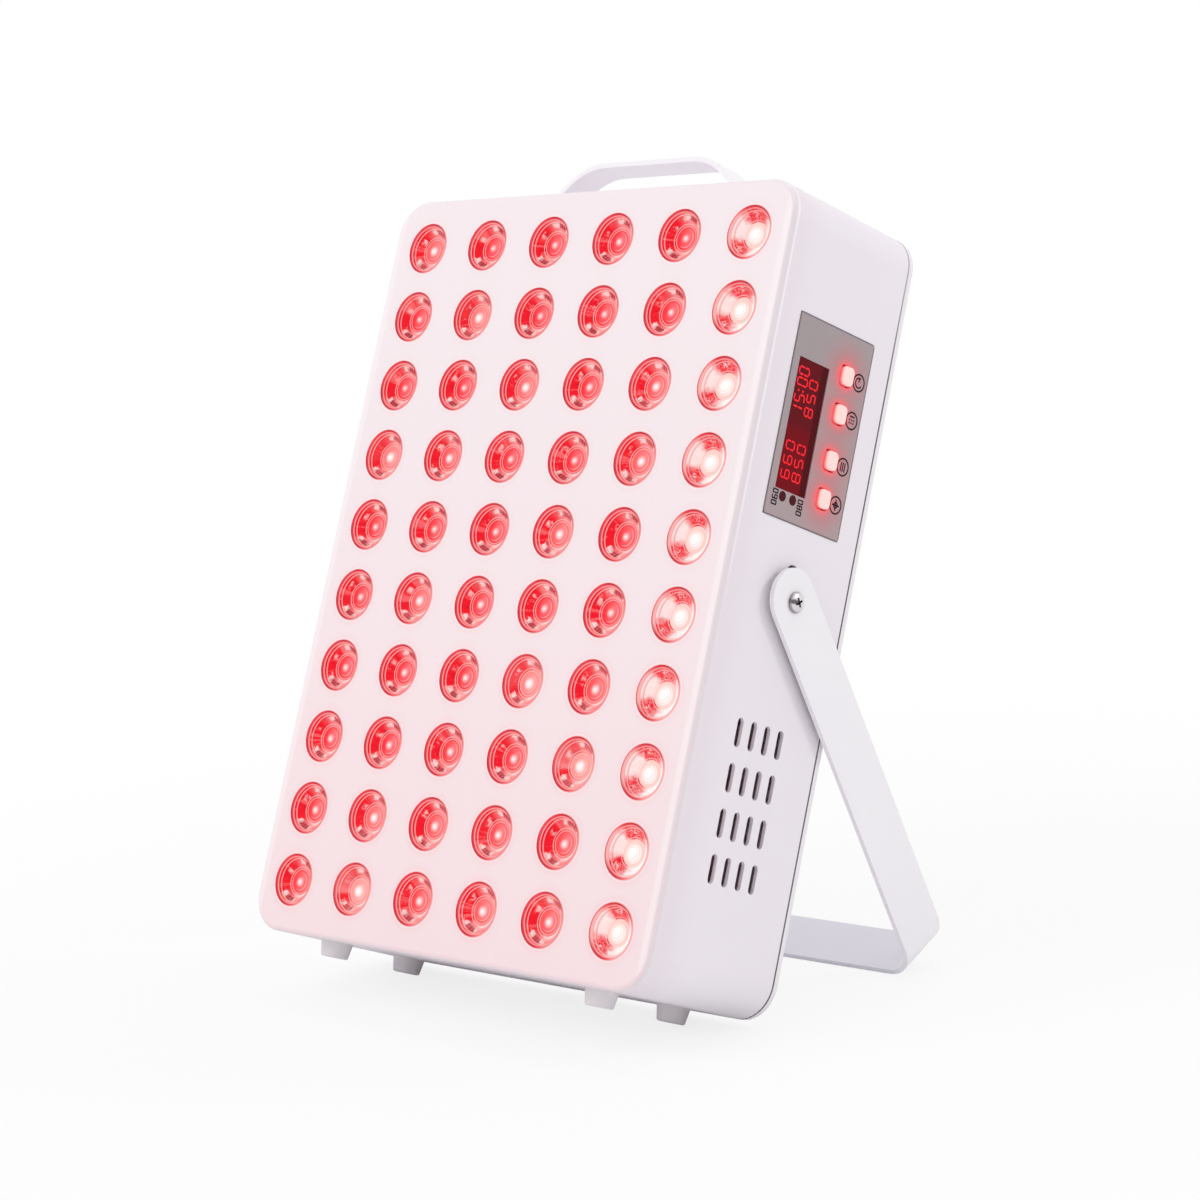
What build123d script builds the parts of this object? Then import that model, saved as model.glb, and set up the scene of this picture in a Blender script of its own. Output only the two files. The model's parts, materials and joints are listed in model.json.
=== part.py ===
from build123d import *
import os
from math import atan2, cos, degrees, pi, radians, sin, tan

# Light therapy panel: a folded steel tray with sixty lensed lamps in its front wall,
# a control unit in its right side, a strap handle on top and four feet below.
# A bent bar swings on two side screws and props the panel up at the back.
# Panel frame: X to the right seen from the front, Y back from the front face, Z up,
# origin at the centre of the front face. Millimetres.

# Flats that stand for a full round on the many small round features
ROUND_SIDES = 16

# Tray and rear cover
WIDTH = 216.0
HEIGHT = 305.0
TRAY_DEPTH = 70.0
WALL = 1.5
CORNER_RADIUS = 14.5
FRONT_FILLET = 2.2
COVER_THICKNESS = 2.2
COVER_SEAM = 0.3
TAB_LENGTH = 24.0
TAB_REACH = 9.0
TAB_SPREAD = 95.0

# Lamps
LENS_COLUMNS = 6
LENS_ROWS = 10
LENS_EDGE_X = 20.5
LENS_EDGE_Z = 20.875
LENS_RADIUS = 10.3
LENS_CLEARANCE = 0.2
LENS_PROUD = 0.3
LENS_DISH_DEPTH = 3.6
LENS_DOME_RADIUS = 4.3
LENS_LENGTH = 12.0
LAMP_GAP = 0.3
BOARD_MARGIN = 8.0
BOARD_THICKNESS = 1.6
STANDOFF_ACROSS = 7.0
SINK_BASE = 3.0
SINK_FIN_HEIGHT = 11.0
SINK_FIN_THICKNESS = 2.0
SINK_FINS = 9
SINK_INSET = 4.0

# Side vents on the right
VENT_COLUMNS = 4
VENT_ROWS = 4
VENT_LENGTH = 11.0
VENT_WIDTH = 3.3
VENT_END_SIDES = 12
VENT_PITCH_Y = 7.7
VENT_PITCH_Z = 16.84
VENT_CENTRE_Y = 35.9
VENT_CENTRE_Z = -77.1

# Control unit in the right side
OVERLAY_WIDTH = 44.0
OVERLAY_HEIGHT = 76.5
OVERLAY_REAR_EDGE = 11.8
OVERLAY_CENTRE_Z = 66.75
OVERLAY_PROUD = 0.15
OVERLAY_CLEARANCE = 0.25
WINDOW_WIDTH = 17.6
WINDOW_HEIGHT = 50.0
WINDOW_Y = -9.5
WINDOW_Z = -2.7
WINDOW_CLEARANCE = 0.2
WINDOW_SUNK = 0.25
BUTTON_SIZE = 7.0
BUTTON_CORNER = 1.4
BUTTON_Y = 9.2
BUTTON_PAIR_PITCH = 14.8
BUTTON_PAIR_GAP = 18.0
BUTTON_CENTRE_Z = -1.3
BUTTON_PROUD = 1.6
BUTTON_CLEARANCE = 0.2
BUTTON_TRAVEL = 0.5
BUTTON_FLANGE = 9.4
BUTTON_FLANGE_THICKNESS = 0.9
BUTTON_STEM = 4.0
CASE_FLANGE = 1.5
CASE_LIP = 3.0
CASE_DEPTH = 9.0
CASE_WALL = 1.5
CONTROL_BOARD_THICKNESS = 1.6
TACT_SIZE = 6.0
TACT_GAP = 0.2

# Swing stand and its pivots
STAND_GAP = 2.3
STAND_BAR = 23.0
STAND_THICKNESS = 2.0
STAND_LENGTH = 165.5
STAND_BEND = 13.0
STAND_END_RISE = 1.5
STAND_ANGLE = 46.3
PIVOT_Y = 36.6
PIVOT_Z = 0.0
SCREW_RADIUS = 2.5
SCREW_FIT = 0.05
SCREW_HOLE_CLEARANCE = 0.2
SCREW_HEAD_RADIUS = 4.0
SCREW_HEAD_HEIGHT = 1.9
SPACER_RADIUS = 7.0
SIDE_PLAY = 0.1
SCREW_REACH = 6.0
PEG_HOLE_RADIUS = 3.5
PEG_HOLE_RISE = 10.5

# Feet and handle
FOOT_SIDE_INSET = 34.8
FOOT_FRONT_Y = 16.8
FOOT_REAR_INSET = 13.1
FOOT_TOP_RADIUS = 6.5
FOOT_BOTTOM_RADIUS = 5.5
FOOT_HEIGHT = 6.2
HANDLE_RISE = 22.2
HANDLE_WIDTH = 13.0
HANDLE_THICKNESS = 2.0
HANDLE_CENTRE_Y = 34.5
HANDLE_FLAT = 48.0
HANDLE_SLOPE = 42.0
HANDLE_TOP_BEND = 27.0
HANDLE_FOOT_BEND = 8.0
HANDLE_FLANGE = 16.0

# Fan behind the rear cover
FAN_SIZE = 80.0
FAN_DEPTH = 25.0
FAN_CENTRE_Z = 62.0
FAN_BORE = 76.0
FAN_BORE_SIDES = 24
FAN_STRUT = 5.0
FAN_HUB_RADIUS = 14.0
FAN_HUB_LENGTH = 16.0
FAN_BLADES = 7
FAN_BLADE_THICKNESS = 1.6
FAN_BLADE_PITCH = 40.0
FAN_TIP_GAP = 1.5
FAN_AXLE_RADIUS = 2.0
FAN_AXLE_FIT = 0.05
FAN_MOUNT_SIZE = 30.0
FAN_MOUNT_DEPTH = 3.0
FAN_RUNNING_GAP = 0.5
GRILLE_RADIUS = 37.0
GRILLE_SLOT = 3.6
GRILLE_PITCH = 6.6

# Power supply, inlet and rocker switch
SUPPLY_LENGTH = 130.0
SUPPLY_HEIGHT = 52.0
SUPPLY_DEPTH = 27.0
SUPPLY_SIDE_GAP = 4.5
SUPPLY_ROW_GAP = 20.0
SUPPLY_EAR = 9.0
SUPPLY_EAR_THICKNESS = 2.0
REAR_ROW_RISE = 34.5
INLET_X = 60.0
INLET_WIDTH = 27.0
INLET_HEIGHT = 20.0
INLET_DEPTH = 18.0
INLET_WALL = 1.8
INLET_PIN_LENGTH = 11.0
INLET_PIN_PITCH = 7.0
INLET_KEY = 5.0
SWITCH_X = 14.0
SWITCH_WIDTH = 19.0
SWITCH_HEIGHT = 13.0
SWITCH_DEPTH = 14.0
SWITCH_WALL = 1.0
FLANGE_REACH = 2.0
FLANGE_THICKNESS = 2.0
CUTOUT_CLEARANCE = 0.2
ROCKER_SIDE_GAP = 0.3
ROCKER_TILT = 8.0
ROCKER_HALF_HEIGHT = 4.5
ROCKER_RISE = 2.6
ROCKER_VALLEY = 1.2
ROCKER_BELOW = 4.0

# Levels that several pieces share
SIDE = WIDTH / 2
TOP = HEIGHT / 2
COVER_FRONT = TRAY_DEPTH + COVER_SEAM
COVER_BACK = COVER_FRONT + COVER_THICKNESS
BOARD_FRONT = LENS_LENGTH + LAMP_GAP
BOARD_BACK = BOARD_FRONT + BOARD_THICKNESS
SIDE_INNER = SIDE - WALL
OVERLAY_CENTRE_Y = TRAY_DEPTH - OVERLAY_REAR_EDGE - OVERLAY_WIDTH / 2
CASE_FRONT = SIDE_INNER - CASE_FLANGE
CASE_BACK = CASE_FRONT - CASE_DEPTH
BUTTON_INNER = CASE_FRONT - BUTTON_TRAVEL - BUTTON_FLANGE_THICKNESS - 2 * TACT_GAP
TACT_TOP = BUTTON_INNER - BUTTON_TRAVEL - TACT_GAP
STAND_INNER = SIDE + STAND_GAP
STAND_OUTER = STAND_INNER + STAND_THICKNESS
FOOT_X = SIDE - FOOT_SIDE_INSET
FOOT_REAR_Y = TRAY_DEPTH - FOOT_REAR_INSET
FAN_FRONT = COVER_FRONT - FAN_DEPTH
REAR_ROW_Z = REAR_ROW_RISE - TOP
SUPPLY_X = SUPPLY_SIDE_GAP + SUPPLY_EAR + SUPPLY_LENGTH / 2 - SIDE_INNER
SUPPLY_Z = REAR_ROW_Z + (INLET_HEIGHT + SUPPLY_HEIGHT) / 2 + SUPPLY_ROW_GAP
LENS_SPAN_X = WIDTH - 2 * LENS_EDGE_X
LENS_SPAN_Z = HEIGHT - 2 * LENS_EDGE_Z
LENS_PITCH_X = LENS_SPAN_X / (LENS_COLUMNS - 1)
LENS_PITCH_Z = LENS_SPAN_Z / (LENS_ROWS - 1)
BOARD_WIDTH = LENS_SPAN_X + 2 * BOARD_MARGIN
BOARD_HEIGHT = LENS_SPAN_Z + 2 * BOARD_MARGIN


def slab(sketch, front, back):
    """Extrude a sketch drawn in X and Z from one depth to a deeper one."""
    return extrude(Pos(0, front, 0) * (Plane.XZ * sketch), back - front, dir=(0, 1, 0))


def side_slab(sketch, inner, outer):
    """Extrude a sketch drawn in Y and Z from one X to a larger one."""
    return extrude(Pos(inner, 0, 0) * (Plane.YZ * sketch), outer - inner, dir=(1, 0, 0))


def round_outline(radius):
    """Polygon that stands for a circle, with its corners on the circle."""
    return RegularPolygon(radius, ROUND_SIDES)


def ring_corners(radius, y):
    """Corners of the polygon that stands for a circle about the Y axis."""
    turns = [2 * pi * index / ROUND_SIDES for index in range(ROUND_SIDES)]
    return [(radius * cos(turn), y, radius * sin(turn)) for turn in turns]


def flat_face(*corners):
    """Flat face with straight edges between its corners."""
    return Face(Wire.make_polygon(corners))


def ring_of_faces(one, other):
    """Flat faces between two rings of corners."""
    return [
        flat_face(one[index - 1], one[index], other[index], other[index - 1])
        for index in range(ROUND_SIDES)
    ]


def at_control(y, z):
    """Place in the side sketch, measured from the centre of the control overlay."""
    return Pos(OVERLAY_CENTRE_Y + y, OVERLAY_CENTRE_Z + z)


def both_sides(shape):
    """A piece on the right and its mirror image on the left."""
    return Compound([shape, mirror(shape, Plane.YZ)])


def cylinder_x(radius, inner, outer, y, z):
    """Cylinder along X between two X values."""
    return side_slab(Pos(y, z) * Circle(radius), inner, outer)


def lens_places():
    """Centres of the lamp grid on the front face."""
    return GridLocations(LENS_PITCH_X, LENS_PITCH_Z, LENS_COLUMNS, LENS_ROWS)


def button_heights():
    """Heights of the four buttons, two close pairs with a wider gap between."""
    near = BUTTON_PAIR_GAP / 2
    far = near + BUTTON_PAIR_PITCH
    return [BUTTON_CENTRE_Z + offset for offset in (far, near, -near, -far)]


def button_outline(grow):
    """Square with cut corners, grown all round by a clearance."""
    square = Rectangle(BUTTON_SIZE + 2 * grow, BUTTON_SIZE + 2 * grow)
    return chamfer(square.vertices(), BUTTON_CORNER)


def button_holes(grow):
    """Openings for the four buttons in the side sketch."""
    return [at_control(BUTTON_Y, z) * button_outline(grow) for z in button_heights()]


def cover_tabs():
    """Folded tabs at the open back of the tray, which carry the rear cover."""
    tabs = []
    side_tab = Rectangle(TAB_REACH, TAB_LENGTH)
    for z in (-TAB_SPREAD, TAB_SPREAD):
        for side in (-1, 1):
            tabs.append(Pos(side * (SIDE_INNER - TAB_REACH / 2), z) * side_tab)
    top_tab = Rectangle(TAB_LENGTH, TAB_REACH)
    for side in (-1, 1):
        tabs.append(Pos(0, side * (TOP - WALL - TAB_REACH / 2)) * top_tab)
    return [slab(tab, COVER_FRONT - WALL, COVER_FRONT) for tab in tabs]


def front_housing():
    """Tray with the lamp holes, side vents, control opening and pivot holes."""
    tray = slab(RectangleRounded(WIDTH, HEIGHT, CORNER_RADIUS), 0, TRAY_DEPTH)
    tray = fillet(tray.faces().sort_by(Axis.Y)[0].edges(), FRONT_FILLET)
    inside = RectangleRounded(WIDTH - 2 * WALL, HEIGHT - 2 * WALL, CORNER_RADIUS - WALL)
    tray -= slab(inside, WALL, TRAY_DEPTH)
    hole = round_outline(LENS_RADIUS + LENS_CLEARANCE)
    tray -= slab(Sketch() + [place * hole for place in lens_places()], 0, WALL)
    vents = Pos(VENT_CENTRE_Y, VENT_CENTRE_Z) * GridLocations(
        VENT_PITCH_Y, VENT_PITCH_Z, VENT_COLUMNS, VENT_ROWS
    )
    straight = VENT_LENGTH - VENT_WIDTH
    slot = Rectangle(VENT_WIDTH, straight)
    for rise in (-straight / 2, straight / 2):
        slot += Pos(0, rise) * RegularPolygon(VENT_WIDTH / 2, VENT_END_SIDES)
    tray -= side_slab(Sketch() + [place * slot for place in vents], SIDE_INNER, SIDE)
    grow = 2 * OVERLAY_CLEARANCE
    opening = Rectangle(OVERLAY_WIDTH + grow, OVERLAY_HEIGHT + grow)
    tray -= side_slab(at_control(0, 0) * opening, SIDE_INNER, SIDE)
    holes = Pos(PIVOT_Y, PIVOT_Z) * round_outline(SCREW_RADIUS + SCREW_HOLE_CLEARANCE)
    holes += Pos(PIVOT_Y, PIVOT_Z + PEG_HOLE_RISE) * round_outline(PEG_HOLE_RADIUS)
    tray -= both_sides(side_slab(holes, SIDE_INNER, SIDE)).solids()
    return tray + cover_tabs()


def rear_cover():
    """Flat back plate with the fan grille and the openings for inlet and switch."""
    plate = RectangleRounded(WIDTH, HEIGHT, CORNER_RADIUS)
    count = int(GRILLE_RADIUS / GRILLE_PITCH)
    slots = []
    for step in range(-count, count + 1):
        rise = step * GRILLE_PITCH
        chord = 2 * (GRILLE_RADIUS**2 - rise**2) ** 0.5
        slots.append(Pos(0, FAN_CENTRE_Z + rise) * Rectangle(chord, GRILLE_SLOT))
    grow = 2 * CUTOUT_CLEARANCE
    slots.append(
        Pos(INLET_X, REAR_ROW_Z) * Rectangle(INLET_WIDTH + grow, INLET_HEIGHT + grow)
    )
    slots.append(
        Pos(SWITCH_X, REAR_ROW_Z) * Rectangle(SWITCH_WIDTH + grow, SWITCH_HEIGHT + grow)
    )
    return slab(plate - slots, COVER_FRONT, COVER_BACK)


def lens():
    """One collimating lens: a cone towards the lamp, with a dish down to its middle."""
    rim = ring_corners(LENS_RADIUS, -LENS_PROUD)
    middle = ring_corners(LENS_DOME_RADIUS, LENS_DISH_DEPTH)
    tip = (0, LENS_LENGTH, 0)
    cone = [flat_face(rim[index - 1], rim[index], tip) for index in range(ROUND_SIDES)]
    return Solid(Shell(cone + ring_of_faces(rim, middle) + [flat_face(*middle)]))


def lenses():
    """All lenses in their grid."""
    one = lens()
    return Compound([Pos(p.position.X, 0, p.position.Y) * one for p in lens_places()])


def led_board():
    """Lamp board behind the lenses."""
    return slab(Rectangle(BOARD_WIDTH, BOARD_HEIGHT), BOARD_FRONT, BOARD_BACK)


def board_standoffs():
    """Hexagonal pillars between front wall and lamp board, in the gaps of the grid."""
    pillar = RegularPolygon(STANDOFF_ACROSS / 2, 6, major_radius=False)
    places = GridLocations(4 * LENS_PITCH_X, 4 * LENS_PITCH_Z, 2, 3)
    return Compound([slab(place * pillar, WALL, BOARD_FRONT) for place in places])


def heat_sink():
    """Finned plate on the back of the lamp board."""
    width = BOARD_WIDTH - 2 * SINK_INSET
    height = BOARD_HEIGHT - 2 * SINK_INSET
    base_back = BOARD_BACK + SINK_BASE
    sink = slab(Rectangle(width, height), BOARD_BACK, base_back)
    pitch = (width - SINK_FIN_THICKNESS) / (SINK_FINS - 1)
    fin = Rectangle(SINK_FIN_THICKNESS, height)
    fins = Sketch() + [place * fin for place in GridLocations(pitch, 0, SINK_FINS, 1)]
    return sink + slab(fins, base_back, base_back + SINK_FIN_HEIGHT)


def control_overlay():
    """Front plate of the control unit with window and button openings."""
    plate = Rectangle(OVERLAY_WIDTH, OVERLAY_HEIGHT)
    holes = button_holes(BUTTON_CLEARANCE)
    holes.append(at_control(WINDOW_Y, WINDOW_Z) * Rectangle(WINDOW_WIDTH, WINDOW_HEIGHT))
    body = side_slab(at_control(0, 0) * plate, SIDE_INNER, SIDE + OVERLAY_PROUD)
    return body - side_slab(Sketch() + holes, SIDE_INNER, SIDE + OVERLAY_PROUD)


def display_window():
    """Tinted pane in the overlay's window, resting on the control case."""
    shrink = 2 * WINDOW_CLEARANCE
    pane = Rectangle(WINDOW_WIDTH - shrink, WINDOW_HEIGHT - shrink)
    outer = SIDE + OVERLAY_PROUD - WINDOW_SUNK
    return side_slab(at_control(WINDOW_Y, WINDOW_Z) * pane, SIDE_INNER, outer)


def control_case():
    """Case behind the side wall: a flange against the wall and a short frame behind it."""
    width = OVERLAY_WIDTH + 2 * CASE_LIP
    height = OVERLAY_HEIGHT + 2 * CASE_LIP
    flange = side_slab(at_control(0, 0) * Rectangle(width, height), CASE_FRONT, SIDE_INNER)
    grow = 2 * BUTTON_CLEARANCE
    hole = Rectangle(BUTTON_SIZE + grow, BUTTON_SIZE + grow)
    holes = [at_control(BUTTON_Y, z) * hole for z in button_heights()]
    flange -= side_slab(Sketch() + holes, CASE_FRONT, SIDE_INNER)
    ring = Rectangle(OVERLAY_WIDTH, OVERLAY_HEIGHT)
    ring -= Rectangle(OVERLAY_WIDTH - 2 * CASE_WALL, OVERLAY_HEIGHT - 2 * CASE_WALL)
    return flange + side_slab(at_control(0, 0) * ring, CASE_BACK, CASE_FRONT)


def control_board():
    """Circuit board across the back of the control case."""
    board = at_control(0, 0) * Rectangle(OVERLAY_WIDTH, OVERLAY_HEIGHT)
    return side_slab(board, CASE_BACK - CONTROL_BOARD_THICKNESS, CASE_BACK)


def tact_switches():
    """Four key switches on the control board, one behind each button."""
    body = Rectangle(TACT_SIZE, TACT_SIZE)
    places = [at_control(BUTTON_Y, z) for z in button_heights()]
    return Compound([side_slab(place * body, CASE_BACK, TACT_TOP) for place in places])


def button(z):
    """Push button: cap through overlay and case, with a flange that keeps it in."""
    place = at_control(BUTTON_Y, z)
    flange_front = CASE_FRONT - TACT_GAP
    flange_back = flange_front - BUTTON_FLANGE_THICKNESS
    outer = SIDE + OVERLAY_PROUD + BUTTON_PROUD
    cap = side_slab(place * button_outline(0), flange_back, outer)
    flange = Rectangle(BUTTON_FLANGE, BUTTON_FLANGE)
    stem = Rectangle(BUTTON_STEM, BUTTON_STEM)
    body = cap + side_slab(place * flange, flange_back, flange_front)
    return body + side_slab(place * stem, BUTTON_INNER, flange_back)


def bent_strap(points, radii, width, thickness):
    """Flat strap bent along a line in X and Z, with its width along Y."""
    path = FilletPolyline(*[(x, 0, z) for x, z in points], radius=radii)
    start = Plane(origin=path @ 0, x_dir=(0, 1, 0), z_dir=path % 0)
    return sweep(start * Rectangle(width, thickness), path=path)


def handle():
    """Strap handle with sloping legs and two flanges on the tray's top."""
    low = TOP + HANDLE_THICKNESS / 2
    high = TOP + HANDLE_RISE - HANDLE_THICKNESS / 2
    slope = radians(HANDLE_SLOPE)
    corner = HANDLE_FLAT / 2 + HANDLE_TOP_BEND * tan(slope / 2)
    leg = corner + (high - low) / tan(slope)
    end = leg + HANDLE_FLANGE
    points = [(-end, low), (-leg, low), (-corner, high)]
    points += [(corner, high), (leg, low), (end, low)]
    radii = [HANDLE_FOOT_BEND, HANDLE_TOP_BEND, HANDLE_TOP_BEND, HANDLE_FOOT_BEND]
    strap = bent_strap(points, radii, HANDLE_WIDTH, HANDLE_THICKNESS)
    return Pos(0, HANDLE_CENTRE_Y, 0) * strap


def feet():
    """Four tapered feet under the tray."""
    top = ring_corners(FOOT_TOP_RADIUS, 0)
    bottom = ring_corners(FOOT_BOTTOM_RADIUS, FOOT_HEIGHT)
    faces = [flat_face(*top), flat_face(*bottom)] + ring_of_faces(top, bottom)
    foot = Rot(X=-90) * Solid(Shell(faces))
    rows = (FOOT_FRONT_Y, FOOT_REAR_Y)
    return Compound([Pos(x, y, -TOP) * foot for x in (-FOOT_X, FOOT_X) for y in rows])


def stand_bracket():
    """Bar bent into a U, with round arm ends that turn on the pivot screws."""
    middle = STAND_OUTER - STAND_THICKNESS / 2
    low = -STAND_LENGTH + STAND_THICKNESS / 2
    end = STAND_BAR / 2
    tip = end + STAND_END_RISE
    points = [(-middle, tip), (-middle, low), (middle, low), (middle, tip)]
    bend = STAND_BEND - STAND_THICKNESS / 2
    strap = bent_strap(points, [bend, bend], STAND_BAR, STAND_THICKNESS)
    outline = Pos(0, STAND_END_RISE) * Circle(end)
    outline += Pos(0, (STAND_END_RISE - STAND_LENGTH) / 2) * Rectangle(
        STAND_BAR, STAND_LENGTH + STAND_END_RISE
    )
    strap &= side_slab(outline, -STAND_OUTER, STAND_OUTER)
    hole = cylinder_x(SCREW_RADIUS + SCREW_FIT, STAND_INNER, STAND_OUTER, 0, 0)
    strap -= both_sides(hole).solids()
    return Pos(0, PIVOT_Y, PIVOT_Z) * Rot(X=STAND_ANGLE) * strap


def pivot_screws():
    """Pan head screws on which the stand turns."""
    seat = STAND_OUTER + SIDE_PLAY
    tip = SIDE_INNER - SCREW_REACH
    screw = cylinder_x(SCREW_RADIUS, tip, seat, PIVOT_Y, PIVOT_Z)
    crown = seat + SCREW_HEAD_HEIGHT
    head = Pos(PIVOT_Y, PIVOT_Z) * round_outline(SCREW_HEAD_RADIUS)
    return both_sides(screw + side_slab(head, seat, crown))


def pivot_spacers():
    """Washers that hold the arms off the tray's sides."""
    ring = round_outline(SPACER_RADIUS)
    ring -= round_outline(SCREW_RADIUS + SCREW_HOLE_CLEARANCE)
    spacer = side_slab(Pos(PIVOT_Y, PIVOT_Z) * ring, SIDE, STAND_INNER - SIDE_PLAY)
    return both_sides(spacer)


def fan_frame():
    """Square fan frame on the rear cover, with struts to the motor mount in front."""
    ring = Rectangle(FAN_SIZE, FAN_SIZE) - RegularPolygon(FAN_BORE / 2, FAN_BORE_SIDES)
    strut = Rectangle(FAN_SIZE, FAN_STRUT) + Rectangle(FAN_STRUT, FAN_SIZE)
    mount = strut + Rectangle(FAN_MOUNT_SIZE, FAN_MOUNT_SIZE)
    mount -= Circle(FAN_AXLE_RADIUS + FAN_AXLE_FIT)
    frame = slab(ring, FAN_FRONT, COVER_FRONT)
    frame += slab(mount, FAN_FRONT, FAN_FRONT + FAN_MOUNT_DEPTH)
    return Pos(0, 0, FAN_CENTRE_Z) * frame


def fan_rotor():
    """Fan wheel: hub with a flat under each pitched blade, and an axle in the motor mount."""
    hub_front = FAN_FRONT + FAN_MOUNT_DEPTH + FAN_RUNNING_GAP
    hub_back = hub_front + FAN_HUB_LENGTH
    rotor = slab(RegularPolygon(FAN_HUB_RADIUS, 2 * FAN_BLADES), hub_front, hub_back)
    pitch = radians(FAN_BLADE_PITCH)
    chord = (FAN_HUB_LENGTH - 2 * FAN_BLADE_THICKNESS) / sin(pitch)
    half_sweep = (chord * cos(pitch) + FAN_BLADE_THICKNESS * sin(pitch)) / 2
    inner = FAN_BORE / 2 * cos(pi / FAN_BORE_SIDES) - FAN_TIP_GAP
    tip = (inner**2 - half_sweep**2) ** 0.5
    blade = Pos(tip / 2, (hub_front + hub_back) / 2, 0) * Rot(X=90 - FAN_BLADE_PITCH)
    blade *= Box(tip, chord, FAN_BLADE_THICKNESS)
    rotor += [Rot(Y=index * 360 / FAN_BLADES) * blade for index in range(FAN_BLADES)]
    rotor += slab(Circle(FAN_AXLE_RADIUS), FAN_FRONT, hub_front)
    return Pos(0, 0, FAN_CENTRE_Z) * rotor


def power_supply():
    """Lamp power supply on the rear cover, with an ear at each end."""
    place = Pos(SUPPLY_X, SUPPLY_Z)
    box = Rectangle(SUPPLY_LENGTH, SUPPLY_HEIGHT)
    ears = Rectangle(SUPPLY_LENGTH + 2 * SUPPLY_EAR, SUPPLY_HEIGHT / 2)
    supply = slab(place * box, COVER_FRONT - SUPPLY_DEPTH, COVER_FRONT)
    return supply + slab(place * ears, COVER_FRONT - SUPPLY_EAR_THICKNESS, COVER_FRONT)


def flanged_box(x, width, height, depth):
    """Snap-in body through the rear cover with a flange on its outer face."""
    place = Pos(x, REAR_ROW_Z)
    flange = Rectangle(width + 2 * FLANGE_REACH, height + 2 * FLANGE_REACH)
    body = slab(place * Rectangle(width, height), COVER_BACK - depth, COVER_BACK)
    return body + slab(place * flange, COVER_BACK, COVER_BACK + FLANGE_THICKNESS)


def power_inlet():
    """Three pin mains inlet with its keyed recess."""
    place = Pos(INLET_X, REAR_ROW_Z)
    mouth = Rectangle(INLET_WIDTH - 2 * INLET_WALL, INLET_HEIGHT - 2 * INLET_WALL)
    mouth = chamfer(mouth.vertices().group_by(Axis.Y)[-1], INLET_KEY)
    floor = COVER_BACK - INLET_DEPTH + INLET_WALL
    body = flanged_box(INLET_X, INLET_WIDTH, INLET_HEIGHT, INLET_DEPTH)
    body -= slab(place * mouth, floor, COVER_BACK + FLANGE_THICKNESS)
    pin = Rectangle(INLET_WALL, 2 * INLET_WALL)
    pins = [Pos(side * INLET_PIN_PITCH, -INLET_WALL) * pin for side in (-1, 1)]
    pins.append(Pos(0, INLET_WALL) * pin)
    return body + slab(place * (Sketch() + pins), floor, floor + INLET_PIN_LENGTH)


def switch_housing():
    """Frame of the rocker switch, open towards the back."""
    place = Pos(SWITCH_X, REAR_ROW_Z)
    well = Rectangle(SWITCH_WIDTH - 2 * SWITCH_WALL, SWITCH_HEIGHT - 2 * SWITCH_WALL)
    body = flanged_box(SWITCH_X, SWITCH_WIDTH, SWITCH_HEIGHT, SWITCH_DEPTH)
    floor = COVER_BACK - SWITCH_DEPTH + SWITCH_WALL
    return body - slab(place * well, floor, COVER_BACK + FLANGE_THICKNESS)


def switch_rocker():
    """Rocker pressed in at its upper half, the on position."""
    half_width = SWITCH_WIDTH / 2 - SWITCH_WALL - ROCKER_SIDE_GAP
    outline = Polygon(
        (-ROCKER_BELOW, -ROCKER_HALF_HEIGHT + ROCKER_VALLEY),
        (ROCKER_RISE, -ROCKER_HALF_HEIGHT),
        (ROCKER_VALLEY, 0),
        (ROCKER_RISE, ROCKER_HALF_HEIGHT),
        (-ROCKER_BELOW, ROCKER_HALF_HEIGHT - ROCKER_VALLEY),
        align=None,
    )
    rocker = Rot(X=ROCKER_TILT) * side_slab(outline, -half_width, half_width)
    return Pos(SWITCH_X, COVER_BACK, REAR_ROW_Z) * rocker


def resting_tilt():
    """Lean of the panel, in degrees, when rear feet and stand both touch the floor."""
    angle = radians(STAND_ANGLE)
    foot_y = FOOT_REAR_Y + FOOT_BOTTOM_RADIUS
    foot_z = -TOP - FOOT_HEIGHT
    bar_y = PIVOT_Y + STAND_LENGTH * sin(angle) - STAND_BAR / 2 * cos(angle)
    bar_z = PIVOT_Z - STAND_LENGTH * cos(angle) - STAND_BAR / 2 * sin(angle)
    return degrees(atan2(bar_z - foot_z, bar_y - foot_y))


def all_nodes():
    """Every piece in the panel frame, by name."""
    nodes = {
        "front_housing": front_housing(),
        "rear_cover": rear_cover(),
        "lenses": lenses(),
        "led_board": led_board(),
        "board_standoffs": board_standoffs(),
        "heat_sink": heat_sink(),
        "control_overlay": control_overlay(),
        "display_window": display_window(),
        "control_case": control_case(),
        "control_board": control_board(),
        "tact_switches": tact_switches(),
        "handle": handle(),
        "feet": feet(),
        "stand_bracket": stand_bracket(),
        "pivot_screws": pivot_screws(),
        "pivot_spacers": pivot_spacers(),
        "fan_frame": fan_frame(),
        "fan_rotor": fan_rotor(),
        "power_supply": power_supply(),
        "power_inlet": power_inlet(),
        "switch_housing": switch_housing(),
        "switch_rocker": switch_rocker(),
    }
    for index, z in enumerate(button_heights(), start=1):
        nodes[f"button_{index}"] = button(z)
    return nodes


def standing(nodes):
    """Lean the panel back on its stand, with the floor at Z 0 and centred on Z."""
    leaning = {name: Rot(X=-resting_tilt()) * shape for name, shape in nodes.items()}
    boxes = [shape.bounding_box() for shape in leaning.values()]
    front = min(box.min.Y for box in boxes)
    back = max(box.max.Y for box in boxes)
    floor = min(box.min.Z for box in boxes)
    place = Pos(0, -(front + back) / 2, -floor)
    return {name: place * shape for name, shape in leaning.items()}


os.makedirs("parts", exist_ok=True)
for node, solid in standing(all_nodes()).items():
    export_step(solid, f"parts/{node}.step")
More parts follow.
